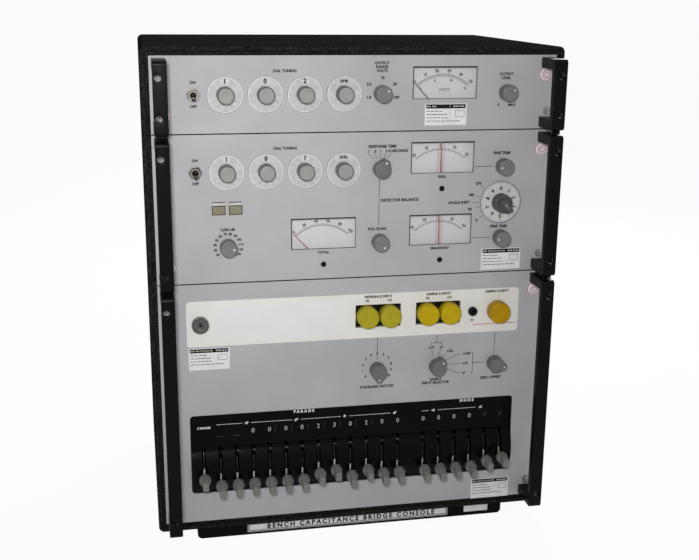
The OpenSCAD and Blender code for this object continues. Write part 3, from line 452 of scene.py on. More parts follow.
# %% Vinyl and see-through sheet
VINYL_SKIN = (10, (0.32, 0.5), 0.5, 0.02, 0.0, 0.15)
VINYL_SOFT = 0.1
VINYL_DEPTH = (0.004, 0.003, 0.001)
VINYL = {
    "cap_lemon": ((175, 164, 38), (164, 153, 34), *VINYL_SKIN),
    "cap_yellow": ((195, 169, 10), (183, 156, 8), *VINYL_SKIN),
    "cap_amber": ((183, 144, 3), (171, 131, 2), *VINYL_SKIN),
}
finish_all("vinyl", VINYL)
for name in VINYL:
    shader_of(name).inputs["Subsurface Weight"].default_value = VINYL_SOFT
    shader_of(name).inputs["Subsurface Radius"].default_value = VINYL_DEPTH
finish_all("see-through", {
    "clear_pane": ((240, 242, 240), (234, 238, 236), 15, (0.04, 0.1), 0.5, 0.006),
    "frosted_mask": ((230, 230, 231), (223, 223, 224), 15, (0.35, 0.5), 0.5, 0.006),
    # The mask's rim is a brighter, less clear ring: a painted highlight where its edge catches light.
    "mask_edge_highlight": ((238, 239, 238), (231, 232, 231), 15, (0.25, 0.4), 0.5, 0.006),
    "rose_haze": ((250, 190, 186), (246, 180, 176), 15, (0.4, 0.6), 0.5, 0.006),
})
ALPHA = {"clear_pane": 0.06, "frosted_mask": 0.42, "mask_edge_highlight": 0.9, "rose_haze": 0.13}
for name, alpha in ALPHA.items():
    shader_of(name).inputs["Alpha"].default_value = alpha
print("materials", len(bpy.data.materials))

# %% [markdown]
# ## Edges of the large solids
# Sheet, bar and moulding never end in a razor edge: a small round catches the light.
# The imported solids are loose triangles, so each solid's mesh is copied and its doubles are merged. A Bevel
# modifier then rounds what turns sharply, and a Weighted Normal modifier keeps large faces evenly shaded.

# %% Helpers for whole pieces
SHARP = 35
MERGE = 0.002


def smooth(piece):
    activate(piece)
    bpy.ops.object.shade_smooth_by_angle(angle=math.radians(SHARP))


def apply_modifier(piece, kind, **settings):
    """Adds a modifier, sets it up and applies it."""
    activate(piece)
    modifier = piece.modifiers.new(kind.lower(), kind)
    for name, value in settings.items():
        setattr(modifier, name, value)
    bpy.ops.object.modifier_apply(modifier=modifier.name)


def round_edges(piece, width):
    """Rounds sharp edges. A width of zero only sets the shading, as for thin sheet with many holes."""
    if width:
        apply_modifier(piece, "BEVEL", width=width * MM, segments=2, limit_method="ANGLE",
                       angle_limit=math.radians(SHARP), use_clamp_overlap=False, loop_slide=False)
    smooth(piece)
    if width:
        apply_modifier(piece, "WEIGHTED_NORMAL", keep_sharp=True)


def whole_copy(node):
    """A solid's mesh as one skin, in place of loose triangles."""
    piece = bpy.data.objects.new(node + "_finished", frame["nodes"][node].data.copy())
    bpy.context.collection.objects.link(piece)
    edit(piece)
    take_all()
    bpy.ops.mesh.remove_doubles(threshold=MERGE * MM)
    leave_edit()
    bpy.ops.mesh.customdata_custom_splitnormals_clear()
    return piece


def span_of(piece):
    """Lowest and highest corners of a mesh, in millimetres."""
    points = [vertex.co / MM for vertex in piece.data.vertices]
    low = Vector([min(point[axis] for point in points) for axis in range(3)])
    high = Vector([max(point[axis] for point in points) for axis in range(3)])
    return low, high


def loose_parts(piece):
    """Separates a mesh into its loose parts, from left to right and then from the top down."""
    edit(piece)
    take_all()
    bpy.ops.mesh.separate(type="LOOSE")
    leave_edit()
    parts = list(bpy.context.selected_objects)
    return sorted(parts, key=lambda part: (round(span_of(part)[0].x, 1), -span_of(part)[0].z))


def join(pieces):
    """Joins pieces into the first, which keeps each one's material."""
    activate(pieces[0])
    for piece in pieces[1:]:
        piece.select_set(True)
    bpy.ops.object.join()
    return pieces[0]


def paint(piece, material):
    """Gives a piece one finish all over."""
    piece.data.materials.clear()
    piece.data.materials.append(look[material])
    return piece


def hand_over(piece, name, body, material=None, stands_for=()):
    """Names a finished piece, gives it a material, ties it to a body, and hides the solids it stands for."""
    piece.name = name
    piece.data.name = name
    if material:
        paint(piece, material)
    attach(piece, body)
    if stands_for:
        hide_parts(*stands_for)
    return piece


def fix(piece, name, material, stands_for=()):
    """Hands over a piece that stays with the console."""
    hand_over(piece, name, "console", material, stands_for)


print("piece helpers ready")

# %% Rounded copies of the solids
ROUNDED = {
    "cabinet_shell": (0.9, "wrinkle_black", "cabinet_black"),
    "rear_cover": (0.5, "wrinkle_black", "cabinet_black"),
    "foot_bars": (1.2, "foot_black", "foot_black"),
    "oscillator_panel": (0, "panel_enamel", "panel_grey"),
    "detector_panel": (0, "panel_enamel", "panel_grey"),
    "bridge_panel": (0, "panel_enamel", "panel_grey"),
    "rack_handles": (1.1, "handle_satin", "handle_black"),
    "terminal_strip": (0, "strip_enamel", "strip_cream"),
    "coaxial_terminals": (0.35, "terminal_black", "terminal_black"),
    "lever_housing": (0.5, "housing_black", "housing_black"),
    "meter_cases": (0.2, "case_black", "meter_black"),
}
for node, (width, material, slot) in ROUNDED.items():
    piece = whole_copy(node)
    round_edges(piece, width)
    fix(piece, node + "_finished", material, [node])
    print(node, len(piece.data.polygons), "faces")

paint(frame["nodes"]["instrument_chassis"], "chassis_alloy")

# %% [markdown]
# ## Screws, nuts and the round plug
# One node holds all the small metal: slotted screws, the hexagon nuts of the toggles and a round plug.
# They differ in plating, so the copy is separated into its loose parts, which are told apart by their width.

# %% Screws, nuts and the round plug
PLUG_WIDTH = 19
NUT_WIDTH = 14
SMALL_ROUND = 0.3
small_metal = {"cover_plug": [], "toggle_nuts": [], "panel_screws": []}
for part in loose_parts(whole_copy("panel_screws")):
    low, high = span_of(part)
    round_edges(part, SMALL_ROUND)
    if high.x - low.x > PLUG_WIDTH:
        small_metal["cover_plug"].append(part)
        plug_front = Vector(((low.x + high.x) / 2, low.y, (low.z + high.z) / 2))
    elif high.x - low.x > NUT_WIDTH:
        small_metal["toggle_nuts"].append(part)
    else:
        small_metal["panel_screws"].append(part)
for (name, parts), material in zip(small_metal.items(), ("plug_steel", "nut_plating", "screw_plating")):
    print(name, len(parts))
    fix(join(parts), name + "_finished", material, ["panel_screws"])

# %% [markdown]
# ## Panes, lamp lenses and dial masks
# Another node holds the clear meter panes, the khaki lamp lenses and the frosted masks over the dials.
# They are told apart in the same way, and each kind gets its own see-through finish.

# %% Panes, lamp lenses and dial masks
PANE_WIDTH = 60
MASK_WIDTH = 30
PANE_ROUND = 0.25
lamp_spans = []
pane_spans = []
counts = {"meter_pane": 0, "dial_mask": 0, "lamp_lens": 0}
for part in loose_parts(whole_copy("window_panes")):
    low, high = span_of(part)
    kind, material = "lamp_lens", "lens_khaki"
    if high.x - low.x > PANE_WIDTH:
        kind, material = "meter_pane", "clear_pane"
        pane_spans.append((low, high))
    elif high.x - low.x > MASK_WIDTH:
        kind, material = "dial_mask", "frosted_mask"
    else:
        lamp_spans.append((low, high))
    counts[kind] += 1
    round_edges(part, PANE_ROUND)
    fix(part, f"{kind}_{counts[kind]}", material, ["window_panes"])
print(counts)

# %% [markdown]
# ## Stacked rings
# Knobs, caps, dials and toggles are all stacks of rings, some round and some drawn out to a nose or a blade.
# A lathe would be enough for round ones. Here a circle is extruded once for each ring, and each ring is then
# moved to its height and outline, so one helper makes every shape, also those that change on the way up.

# %% Stacked rings
RING_MERGE = 0.001


def stack(rings, sides=64, centre=(0, 0), hollow=False):
    """Rings of (height, outline) along local Z. An outline is a radius or a function of the angle."""
    deselect()
    bpy.ops.mesh.primitive_circle_add(vertices=sides, radius=1, fill_type="NOTHING" if hollow else "NGON")
    piece = bpy.context.object
    enter_edit()
    for _ in rings[1:]:
        bpy.ops.mesh.extrude_region_move(TRANSFORM_OT_translate={"value": (0, 0, 1)})
    leave_edit()
    for vertex in piece.data.vertices:
        height, outline = rings[round(vertex.co.z)]
        angle = math.atan2(vertex.co.y, vertex.co.x)
        radius = outline(angle) if callable(outline) else outline
        across = centre[0] + radius * math.cos(angle)
        along = centre[1] + radius * math.sin(angle)
        vertex.co = Vector((across, along, height)) * MM
    edit(piece)
    take_all()
    bpy.ops.mesh.remove_doubles(threshold=RING_MERGE * MM)
    bpy.ops.mesh.normals_make_consistent(inside=False)
    leave_edit()
    smooth(piece)
    return piece


def band(inner, outer, low, high, sides):
    """A ring with a rectangular section."""
    return stack([(low, inner), (high, inner), (high, outer), (low, outer), (low, inner)], sides, hollow=True)


def stand(piece, at, turn=0.0, tip=90.0):
    """Stands a piece up from its local plane, so that local Z looks out of the panel, and fixes it there."""
    activate(piece)
    piece.rotation_euler = (math.radians(tip), math.radians(turn), 0)
    piece.location = Vector(at) * MM
    bpy.ops.object.transform_apply()
    return piece


def twin(master):
    """A copy with a mesh of its own."""
    piece = bpy.data.objects.new(master.name + "_copy", master.data.copy())
    bpy.context.collection.objects.link(piece)
    return piece


def discard(piece):
    bpy.data.objects.remove(piece)


print("stack helper ready")

# %% [markdown]
# ## Control knobs
# Six knobs are plain rounds, and four have a pointer nose whose flanks leave the round as tangents.
# Each is a skirt with a cap, a soft front edge and a white dot that shows where it points. The cap is a
# lighter
# grey than the skirt: painted light, for a front that faces the lamp and a side in shade.
# Both kinds are modelled once, at the origin, and copied to each control with its rest angle.

# %% Control knobs
KNOB_RADIUS = 10.15
NOSE_REACH = 13.5
NOSE_FULL = 17.5
DOT_INSET = 4.0
DOT_RADIUS = 1.15
KNOB_FRONT = 16.2
KNOB_DISH = 16.1


def nose(inset):
    """Outline of a pointer knob, drawn in by an inset: a round, two tangents and a blunt tip along Y."""
    radius = KNOB_RADIUS - inset
    lean = math.acos(KNOB_RADIUS / NOSE_FULL)

    def outline(angle):
        off = abs((angle - math.pi / 2 + math.pi) % (2 * math.pi) - math.pi)
        if off > lean:
            return radius
        return min(radius / math.cos(lean - off), (NOSE_REACH - inset) / math.cos(off))

    return outline


def white_dot(reach, height):
    rings = [(height - 0.3, DOT_RADIUS), (height + 0.1, DOT_RADIUS), (height + 0.15, DOT_RADIUS - 0.2)]
    return paint(stack(rings, 16, (0, reach)), "ink_white")


def shaped(rings, outline):
    """Rings of height and inset, each drawn in from an outline by its inset."""
    return [(height, outline(inset)) for height, inset in rings]


def round_outline(inset):
    return KNOB_RADIUS - inset


SKIRT = [(1.2, 0.7), (1.4, 0.2), (2.0, 0.0), (13.4, 0.12), (14.8, 0.25), (15.2, 0.6), (14.9, 1.4)]
CAP = [(14.6, 0.75), (15.3, 0.75), (15.9, 1.0), (16.15, 1.5), (16.2, 2.1)]
DISH = [(16.05, 7.4), (16.05, 0.5)]
round_skirt = paint(stack(shaped(SKIRT, round_outline)), "knob_grey")
round_cap = paint(stack(shaped(CAP, round_outline) + DISH), "knob_cap_painted_light")
round_knob = join([round_skirt, round_cap, white_dot(KNOB_RADIUS - DOT_INSET, KNOB_DISH)])
nose_skirt = paint(stack(shaped(SKIRT, nose), 96), "knob_grey")
nose_cap = paint(stack(shaped(CAP, nose), 96), "pointer_cap_painted_light")
nose_knob = join([nose_skirt, nose_cap, white_dot(NOSE_REACH - DOT_INSET, KNOB_FRONT)])

ROUND_KNOBS = {"output_range_knob": 52, "output_level_knob": 54, "gain_knob": 96, "sensitivity_knob": 145,
               "in_phase_knob": -90, "quadrature_knob": -90}
NOSE_KNOBS = {"time_constant_knob": 25, "multiplier_knob": 180, "terminal_knob": 34, "zero_knob": 104}
for master, knobs in ((round_knob, ROUND_KNOBS), (nose_knob, NOSE_KNOBS)):
    for node, angle in knobs.items():
        knob = stand(twin(master), (pivot[node].x, panel_y, pivot[node].z), angle)
        hand_over(knob, node + "_moulding", node, stands_for=[node])
    discard(master)
print("knobs", len(ROUND_KNOBS) + len(NOSE_KNOBS))

# %% [markdown]
# ## Lettering
# The panels are printed with short words, numbers and thin rules, and the dials with digits.
# Text objects can be set anywhere, but each would be a piece of its own. So all words and rules of a surface
# are collected on a sheet, made a mesh together and joined. Rules are thin boxes, stretched to length.

# %% Lettering
INK = 0.06
BOLD = 0.045
sheet = []


def word(text, x, z, size, y=panel_y, turn=0.0, bold=BOLD, spread=1.0):
    """One word, centred at a place on a face that looks along -Y."""
    place = Vector((x, y, z)) * MM
    bpy.ops.object.text_add(location=place, rotation=(math.pi / 2, math.radians(turn), 0))
    letters = bpy.context.object
    letters.data.body = text
    letters.data.size = size * MM
    letters.data.align_x = "CENTER"
    letters.data.align_y = "CENTER"
    letters.data.extrude = INK * MM
    letters.data.offset = bold * size * MM
    letters.data.space_character = spread
    letters.data.resolution_u = 3
    sheet.append(letters)


def rule(points, width=0.5, y=panel_y):
    """A thin line through points of X and Z, one box to each stretch."""
    deselect()
    for (x0, z0), (x1, z1) in zip(points, points[1:]):
        length = math.hypot(x1 - x0, z1 - z0) + width
        slope = math.atan2(z1 - z0, x1 - x0)
        middle = Vector(((x0 + x1) / 2, y, (z0 + z1) / 2)) * MM
        bpy.ops.mesh.primitive_cube_add(size=1, location=middle, rotation=(0, -slope, 0),
                                        scale=Vector((length, 2 * INK, width)) * MM)
        sheet.append(bpy.context.object)


def boxed(x0, x1, z0, z1, width, y=panel_y):
    """A rule round a rectangle."""
    rule([(x0, z0), (x1, z0), (x1, z1), (x0, z1), (x0, z0)], width, y)


def polar(centre, radius, turned):
    """X and Z at a distance from a centre, turned clockwise from the top."""
    angle = math.radians(turned)
    return centre.x + radius * math.sin(angle), centre.z + radius * math.cos(angle)


def ring_of_words(node, words, radius, first, step, size, y=panel_y, upright=True):
    """Words round a control, at angles clockwise from the top."""
    for count, text in enumerate(words):
        angle = first + count * step
        word(text, *polar(pivot[node], radius, angle), size, y, 0 if upright else angle)


def print_sheet(name, material="ink_black", body="console"):
    """Turns all that is on the sheet into one printed piece."""
    deselect()
    for item in sheet:
        item.select_set(True)
    bpy.context.view_layer.objects.active = sheet[0]
    bpy.ops.object.convert(target="MESH")
    bpy.ops.object.join()
    bpy.ops.object.transform_apply()
    piece = bpy.context.object
    sheet.clear()
    return hand_over(piece, name, body, material)


print("lettering helpers ready")

# %% [markdown]
# ## Frequency dials
# Each dial is a white number disc with a grey knob on one shaft, under a frosted mask whose rim is a painted
# highlight.
# The digit in the mask's window is the one at the top, so the digits run the other way round from the turn.
# The disc, the knob and the digits are separate pieces, because they have different finishes.

# %% Frequency dials
DIGIT_RADIUS = 15.1
DIGIT_FACE = panel_y - 2.4
DIGIT_STEP = 30
DIGIT_SIZE = 7.2
UNIT_STEP = 60
UNIT_SIZE = 5.4
SHOWN = {"oscillator": (1, 0, 2), "detector": (1, 0, 1)}
DIGIT_WORDS = [str(digit) for digit in range(11)]
UNIT_WORDS = ["Hz", "kHz", "MHz"]
DISC = [(1.2, 18.2), (1.4, 18.45), (2.2, 18.45), (2.4, 18.25), (2.4, 8.0)]
MASK_RIM_HIGHLIGHT = [(4.3, 19.15), (4.43, 19.2), (4.43, 20.05), (4.3, 20.15), (4.3, 19.15)]
DIAL_BODY = [(2.2, 9.8), (2.6, 10.0), (15.2, 9.85), (16.9, 9.5), (17.6, 8.9), (17.4, 8.0)]
DIAL_FACE = [(17.3, 8.7), (17.8, 8.4), (18.0, 7.8), (17.9, 7.0), (17.9, 0.5)]
disc_master = stack(DISC)
rim_highlight_master = stack(MASK_RIM_HIGHLIGHT, 96, hollow=True)
# The knob's face is lighter than its side: partly a lighter face, partly painted light on a front that faces
# the lamp.
dial_knob_master = join([paint(stack(DIAL_BODY), "knob_grey"), paint(stack(DIAL_FACE), "knob_face_with_painted_light")])
for panel, digits in SHOWN.items():
    for count in range(4):
        node = f"{panel}_dial_{count + 1}"
        at = (pivot[node].x, panel_y, pivot[node].z)
        hand_over(stand(twin(disc_master), at), node + "_disc", node, "dial_white", [node])
        hand_over(stand(twin(dial_knob_master), at), node + "_knob", node, stands_for=[node])
        # A bright ring round each mask is a painted highlight on its edge.
        fix(stand(twin(rim_highlight_master), at), node + "_mask_rim_highlight", "mask_edge_highlight")
        words, first, step, size = UNIT_WORDS, UNIT_STEP, UNIT_STEP, UNIT_SIZE
        if count < len(digits):
            words, first, step, size = DIGIT_WORDS, DIGIT_STEP * digits[count], DIGIT_STEP, DIGIT_SIZE
        ring_of_words(node, words, DIGIT_RADIUS, first, -step, size, DIGIT_FACE, False)
        print_sheet(node + "_digits", body=node)
for master in (disc_master, rim_highlight_master, dial_knob_master):
    discard(master)
print("dials", 4 * len(SHOWN))

# %% [markdown]
# ## Phase dial
# The large white disc has ten numbers and fine ticks at its rim, a dark hub, and a bar knob that turns by
# itself inside it. The ticks are one short rule, repeated round the disc by its angle.

# %% Phase dial
PHASE_FACE = panel_y - 3.2
PHASE_RADIUS = 26.25
NUMBER_RADIUS = 17.0
NUMBER_STEP = 36
NUMBER_SIZE = 6.0
TICK_COUNT = 50
TICK_LONG = 21.0
TICK_SHORT = 23.6
phase = pivot["phase_dial"]
phase_at = (phase.x, panel_y, phase.z)
phase_disc = stack([(1.2, PHASE_RADIUS - 0.3), (1.4, PHASE_RADIUS), (2.9, PHASE_RADIUS),
                    (3.2, PHASE_RADIUS - 0.25), (3.2, 11.0)], 96)
phase_hub = stack([(3.1, 11.5), (15.6, 11.35), (16.7, 11.0), (17.1, 10.4), (17.2, 9.8), (17.2, 4.0)])
for name, piece, material in (("disc", phase_disc, "dial_white"), ("hub", phase_hub, "hub_grey")):
    stand(piece, phase_at)
    hand_over(piece, "phase_dial_" + name, "phase_dial", material, ["phase_dial"])
rim_line = band(PHASE_RADIUS - 0.85, PHASE_RADIUS - 0.3, 3.16, 3.27, 96)
hand_over(stand(rim_line, phase_at), "phase_dial_rim", "phase_dial", "ink_black")
ring_of_words("phase_dial", DIGIT_WORDS[:10], NUMBER_RADIUS, 0, NUMBER_STEP, NUMBER_SIZE, PHASE_FACE, False)
for tick in range(TICK_COUNT):
    ends = (TICK_SHORT if tick % 5 else TICK_LONG, PHASE_RADIUS - 0.6)
    rule([polar(phase, radius, tick * 360 / TICK_COUNT) for radius in ends], 0.35, PHASE_FACE)
print_sheet("phase_dial_numbers", body="phase_dial")
print("phase dial ticks", TICK_COUNT)

# %% [markdown]
# ## Bar knob
# A round boss with a straight finger grip stands in the phase dial's hub. The grip is a stack too, but its
# rings are rectangles with round corners, which one formula gives as a radius at each angle.

# %% Bar knob
BAR_MIDDLE = 1.5
BAR_TURN = 135
BOSS = [(17.6, 7.8), (17.9, 8.0), (20.8, 7.9), (21.4, 7.4), (21.6, 6.6)]
BLADE = ((17.6, 3.4, 9.9), (18.0, 3.5, 10.0), (23.8, 3.35, 9.85), (25.0, 2.9, 9.4), (25.6, 2.2, 8.7),
         (25.6, 1.2, 7.4))


def block(half_width, half_height, square=8):
    """Outline of a rectangle with round corners, as a radius at each angle."""
    def outline(angle):
        across = abs(math.cos(angle)) / half_width
        along = abs(math.sin(angle)) / half_height
        return (across ** square + along ** square) ** (-1 / square)

    return outline


def blocks(rows):
    """Rings of (height, half width, half height, and how square the corners are)."""
    return [(height, block(*form)) for height, *form in rows]


blade = stack(blocks(BLADE), 96, (0, BAR_MIDDLE))
bar_dot = paint(stack([(25.4, 0.7), (25.7, 0.7), (25.75, 0.5)], 16), "ink_white")
bar_knob = join([paint(stack(BOSS), "hub_grey"), paint(blade, "hub_grey"), bar_dot])
stand(bar_knob, phase_at, BAR_TURN)
hand_over(bar_knob, "phase_knob_moulding", "phase_knob", stands_for=["phase_knob"])
print("bar knob at", BAR_TURN, "degrees")

# %% [markdown]
# ## Toggles
# A power toggle is a plated bat that grows towards its rounded end, on a ball inside the bushing.
# It is one stack of rings along the bat, tipped down by half of its swing, because both are off at rest.

# %% Toggles
HALF_SWING = 17
TOGGLES = ("oscillator_toggle", "detector_toggle")
BAT = [(-3.2, 0.5), (-2.3, 2.3), (0.0, 3.25), (2.3, 2.3), (3.0, 1.5), (9.6, 2.15), (11.6, 2.45), (12.5, 2.2),
       (12.9, 1.5), (13.0, 0.5)]
bat = stack(BAT, 32)
for node in TOGGLES:
    piece = stand(twin(bat), pivot[node], tip=90 + HALF_SWING)
    hand_over(piece, node + "_bat", node, "toggle_plating", [node])
discard(bat)
print("toggles", len(TOGGLES))

# %% [markdown]
# ## Levers
# Nineteen levers swing on one axle behind the plate: a hub, a dark sector with a steel edge that closes
# the slot, a bright stem, and a grey knob that goes from a round base to a chisel. Only the angle differs.
# The sector is a thin drum with two bisected sides, and the knob is a stack that turns from round to square.
# Near the stem, the faces of the sector's rim get a painted glint, a bright finish of their own, and further
# up the steel edge is broken by dark patches of painted shade.

# %% Lever frame
AXLE_GAP = 4.1
HUB_RADIUS = 8.0
HUB_HALF = 5.0
SECTOR_RADIUS = 56.0
SECTOR_HALF = 33.4
SECTOR_ROOT = 0.7 * HUB_RADIUS
GLINT_HALF = 9.0
GLINT_SLOT = 2
STEM_ROOT = 48.0
KNOB_ROOT = 66.5


def lay(piece):
    """Turns a stack on its side, so that its axis runs along X as the axle does."""
    activate(piece)
    piece.rotation_euler = (0, math.radians(90), 0)
    bpy.ops.object.transform_apply()
    return piece


blank = stack([(-1.0, SECTOR_RADIUS - 0.3), (-0.7, SECTOR_RADIUS), (0.7, SECTOR_RADIUS),
               (1.0, SECTOR_RADIUS - 0.3)], 128)
# A thin steel band on the sector's rim, its dark patches painted shade.
steel_edge = stack([(-0.4, SECTOR_RADIUS - 0.2), (-0.35, SECTOR_RADIUS + 0.06), (0.35, SECTOR_RADIUS + 0.06),
                   (0.4, SECTOR_RADIUS - 0.2)], 128, hollow=True)
sector = lay(join([paint(blank, "sector_black"), paint(steel_edge, "edge_steel_patchy_shade")]))
edit(sector)
lean = math.radians(SECTOR_HALF)
for side in (-1, 1):
    take_all()
    bpy.ops.mesh.bisect(plane_co=(0, 0, SECTOR_ROOT * MM), use_fill=True, clear_outer=True,
                        plane_no=(0, side * math.cos(lean), -math.sin(lean)))
leave_edit()
# The rim's faces near the stem get the painted glint.
sector.data.materials.append(look["edge_painted_glint"])
for face in sector.data.polygons:
    off = math.atan2(abs(face.center.y), face.center.z)
    on_rim = math.hypot(face.center.y, face.center.z) > (SECTOR_RADIUS - 1) * MM
    if on_rim and off < math.radians(GLINT_HALF):
        face.material_index = GLINT_SLOT
HUB = [(-HUB_HALF, AXLE_GAP), (-HUB_HALF, 7.7), (-4.7, HUB_RADIUS), (4.7, HUB_RADIUS), (HUB_HALF, 7.7),
       (HUB_HALF, AXLE_GAP), (-HUB_HALF, AXLE_GAP)]
hub = lay(stack(HUB, 48, hollow=True))
stem = stack([(STEM_ROOT, 1.0), (KNOB_ROOT - 0.8, 1.0), (KNOB_ROOT, 1.4), (KNOB_ROOT + 1.6, 1.4)], 24)
lever_frame = join([paint(stem, "lever_steel"), sector, paint(hub, "sector_black")])
print("lever frame", len(lever_frame.data.polygons), "faces")

# %% Lever knobs and copies
LEVER_STEP = 2.8
LEVEL_DIGIT = 4.5
ROUND_PART = [(KNOB_ROOT, 6.6), (66.8, 7.05), (67.4, 7.25), (71.4, 7.25)]
CHISEL_PART = ((72.6, 6.9, 7.15, 2.3), (73.6, 5.6, 7.0, 2.8), (74.6, 4.5, 6.85, 4), (75.8, 3.95, 6.7, 7),
               (87.3, 3.78, 5.6, 12), (88.2, 3.5, 5.3, 12), (88.5, 3.1, 4.9, 12))
lever_knob = stack(ROUND_PART + blocks(CHISEL_PART), 64)
SET_TO = {"capacitance": (0, 0, 0, 0, 0, 0, 2, 3, 0, 2, 0, 0), "conductance": (0, 0, 0, 0, 2, 3)}
DIGITS = {"range_lever": 3}
for kind, digits in SET_TO.items():
    DIGITS.update({f"{kind}_lever_{count + 1}": digit for count, digit in enumerate(digits)})
for node, digit in DIGITS.items():
    tip = 90 - (digit - LEVEL_DIGIT) * LEVER_STEP
    steel = stand(twin(lever_frame), pivot[node], tip=tip)
    hand_over(steel, node + "_frame", node, stands_for=[node])
    grip = stand(twin(lever_knob), pivot[node], tip=tip)
    hand_over(grip, node + "_knob", node, "lever_grey", [node])
discard(lever_frame)
discard(lever_knob)
print("levers", len(DIGITS))

# %% [markdown]
# ## Dust caps
# Soft vinyl caps cover the five terminals, with flat fronts and soft edges, in three shades of yellow.
# A cap is a cup of rings: out from the open end, up the outside and over the front.
# Their places come from the solids, so each cap stays on its own terminal.

# %% Dust caps
CAP_RINGS = [(0.0, 9.6), (0.0, 13.0), (0.3, 13.4), (0.9, 13.6), (11.5, 13.55), (13.6, 13.4), (14.8, 13.0),
             (15.4, 12.4), (15.65, 11.6), (15.7, 10.6), (15.5, 9.0), (15.45, 0.4)]
CAP_FINISHES = ("cap_lemon", "cap_lemon", "cap_yellow", "cap_yellow", "cap_amber")
cap_master = stack(CAP_RINGS)
cap_spots = []
for part in loose_parts(whole_copy("dust_caps")):
    low, high = span_of(part)
    cap_spots.append(((low.x + high.x) / 2, high.y, (low.z + high.z) / 2))
    discard(part)
for count, (spot, material) in enumerate(zip(cap_spots, CAP_FINISHES)):
    cap = stand(twin(cap_master), spot)
    fix(cap, f"dust_cap_{count + 1}", material, ["dust_caps"])
discard(cap_master)
print("caps at", [[round(value, 1) for value in spot] for spot in cap_spots])

# %% [markdown]
# ## Meter cards and scales
# Behind each pane lies a white card with an arc, ticks and numbers, and the needle swings in front of it.
# The card is a plane given thickness. The arc is a row of short rules about the needle's pivot.

# %% Meter cards and scales
CARD_DEPTH = 10.4
CARD_WIDTH = 82.4
CARD_TOP = 58.8
CARD_BOTTOM = 13.0
CARD_THICK = 0.3
CARD_FACE = panel_y + CARD_DEPTH
ARC_RADIUS = 46.0
ARC_APART = 1.6
PARTS = 5


def plate(width, height, thick, corner=0.4):
    """A flat plate with round corners, its back on the local plane."""
    deselect()
    bpy.ops.mesh.primitive_plane_add(size=1)
    piece = bpy.context.object
    enter_edit()
    bpy.ops.transform.resize(value=(width * MM, height * MM, 1))
    bpy.ops.mesh.bevel(offset=corner * MM, segments=4, affect="VERTICES")
    take_all()
    bpy.ops.mesh.extrude_region_move(TRANSFORM_OT_translate={"value": (0, 0, thick * MM)})
    take_all()
    bpy.ops.mesh.normals_make_consistent(inside=False)
    leave_edit()
    return piece


def fan(reach, count):
    """So many angles, evenly from one end of a scale to the other."""
    return [-reach + 2 * reach * number / (count - 1) for number in range(count)]


def scale(node, reach, numbers, inner=(), legend=""):
    """Prints one meter's arc, ticks and numbers, and a second arc with numbers inside it."""
    centre = pivot[node]
    arcs = [(ARC_RADIUS, 0.5), (ARC_RADIUS - ARC_APART, 0.35)]
    for radius, width in arcs if inner else arcs[:1]:
        rule([polar(centre, radius, angle) for angle in fan(reach, reach // 2 + 1)], width, CARD_FACE)
    for tick, angle in enumerate(fan(reach, PARTS * (len(numbers) - 1) + 1)):
        top = ARC_RADIUS + (2.0 if tick % PARTS else 3.0)
        rule([polar(centre, radius, angle) for radius in (ARC_RADIUS, top)], 0.7, CARD_FACE)
    for row, radius, size in ((numbers, ARC_RADIUS + 5.6, 4.6), (inner, ARC_RADIUS - 5.0, 4.0)):
        for text, angle in zip(row, fan(reach, len(row))):
            word(text, *polar(centre, radius, angle), size, CARD_FACE, angle)
    if legend:
        word(legend, centre.x + 2, centre.z + ARC_RADIUS - 17, 4.6, CARD_FACE, 0, 0.01)
    print_sheet(node.replace("needle", "scale"))


NEEDLES = {"level_needle": "needle_black", "magnitude_needle": "needle_red", "in_phase_needle": "needle_red",
           "quadrature_needle": "needle_red"}
for node, material in NEEDLES.items():
    card = plate(CARD_WIDTH, CARD_TOP - CARD_BOTTOM, CARD_THICK)
    stand(card, (pivot[node].x, CARD_FACE + CARD_THICK, pivot[node].z + (CARD_TOP + CARD_BOTTOM) / 2))
    fix(card, node.replace("needle", "card"), "card_white")
    paint(frame["nodes"][node], material)
scale("level_needle", 42, ("0", "10", "20", "30", "40", "50"), ("0", "5", "10", "15"), "VOLTS")
scale("magnitude_needle", 42, ("0", "20", "40", "60", "80", "100"))
scale("in_phase_needle", 40, ("50", "25", "0", "25", "50"))
scale("quadrature_needle", 40, ("50", "25", "0", "25", "50"))
print("meters", len(NEEDLES))

# %% [markdown]
# ## Needle bands and painted shade round the panes
# Two meters show a faint rose band on each side of the needle, and it moves with the needle. Round each pane
# a dark line of painted shade, widest at the top and left, stands for the shade where it meets the panel. The
# bands are thin plates, and the lines are rules.

# %% Needle bands and painted shade round the panes
HAZE_BACK = panel_y + 8.4
HAZE_APART = 2.9
HAZE_RISE = 30.0
HAZE_SIZE = (3.4, 46.0, 0.3, 0.6)
for node in ("in_phase_needle", "quadrature_needle"):
    bands = []
    for side in (-HAZE_APART, HAZE_APART):
        bands.append(stand(plate(*HAZE_SIZE), (pivot[node].x + side, HAZE_BACK, pivot[node].z + HAZE_RISE)))
    hand_over(join(bands), node + "_band", node, "rose_haze")
# Painted shade round each pane: widest along the top, then the left, thin at the bottom and right.
for low, high in pane_spans:
    rule([(low.x, high.z - 0.6), (high.x, high.z - 0.6)], 1.3, low.y)
    rule([(low.x + 0.4, low.z), (low.x + 0.4, high.z)], 0.9, low.y)
    rule([(low.x, low.z + 0.2), (high.x, low.z + 0.2), (high.x, high.z)], 0.5, low.y)
print_sheet("pane_shade_lines")
print("panes", len(pane_spans))

# %% [markdown]
# ## Words and rules on the panels
# Every control has a short name and, where it has positions, numbers. Thin rules join the controls that work
# together. All places are given from the control's own axis, so the print follows the controls.

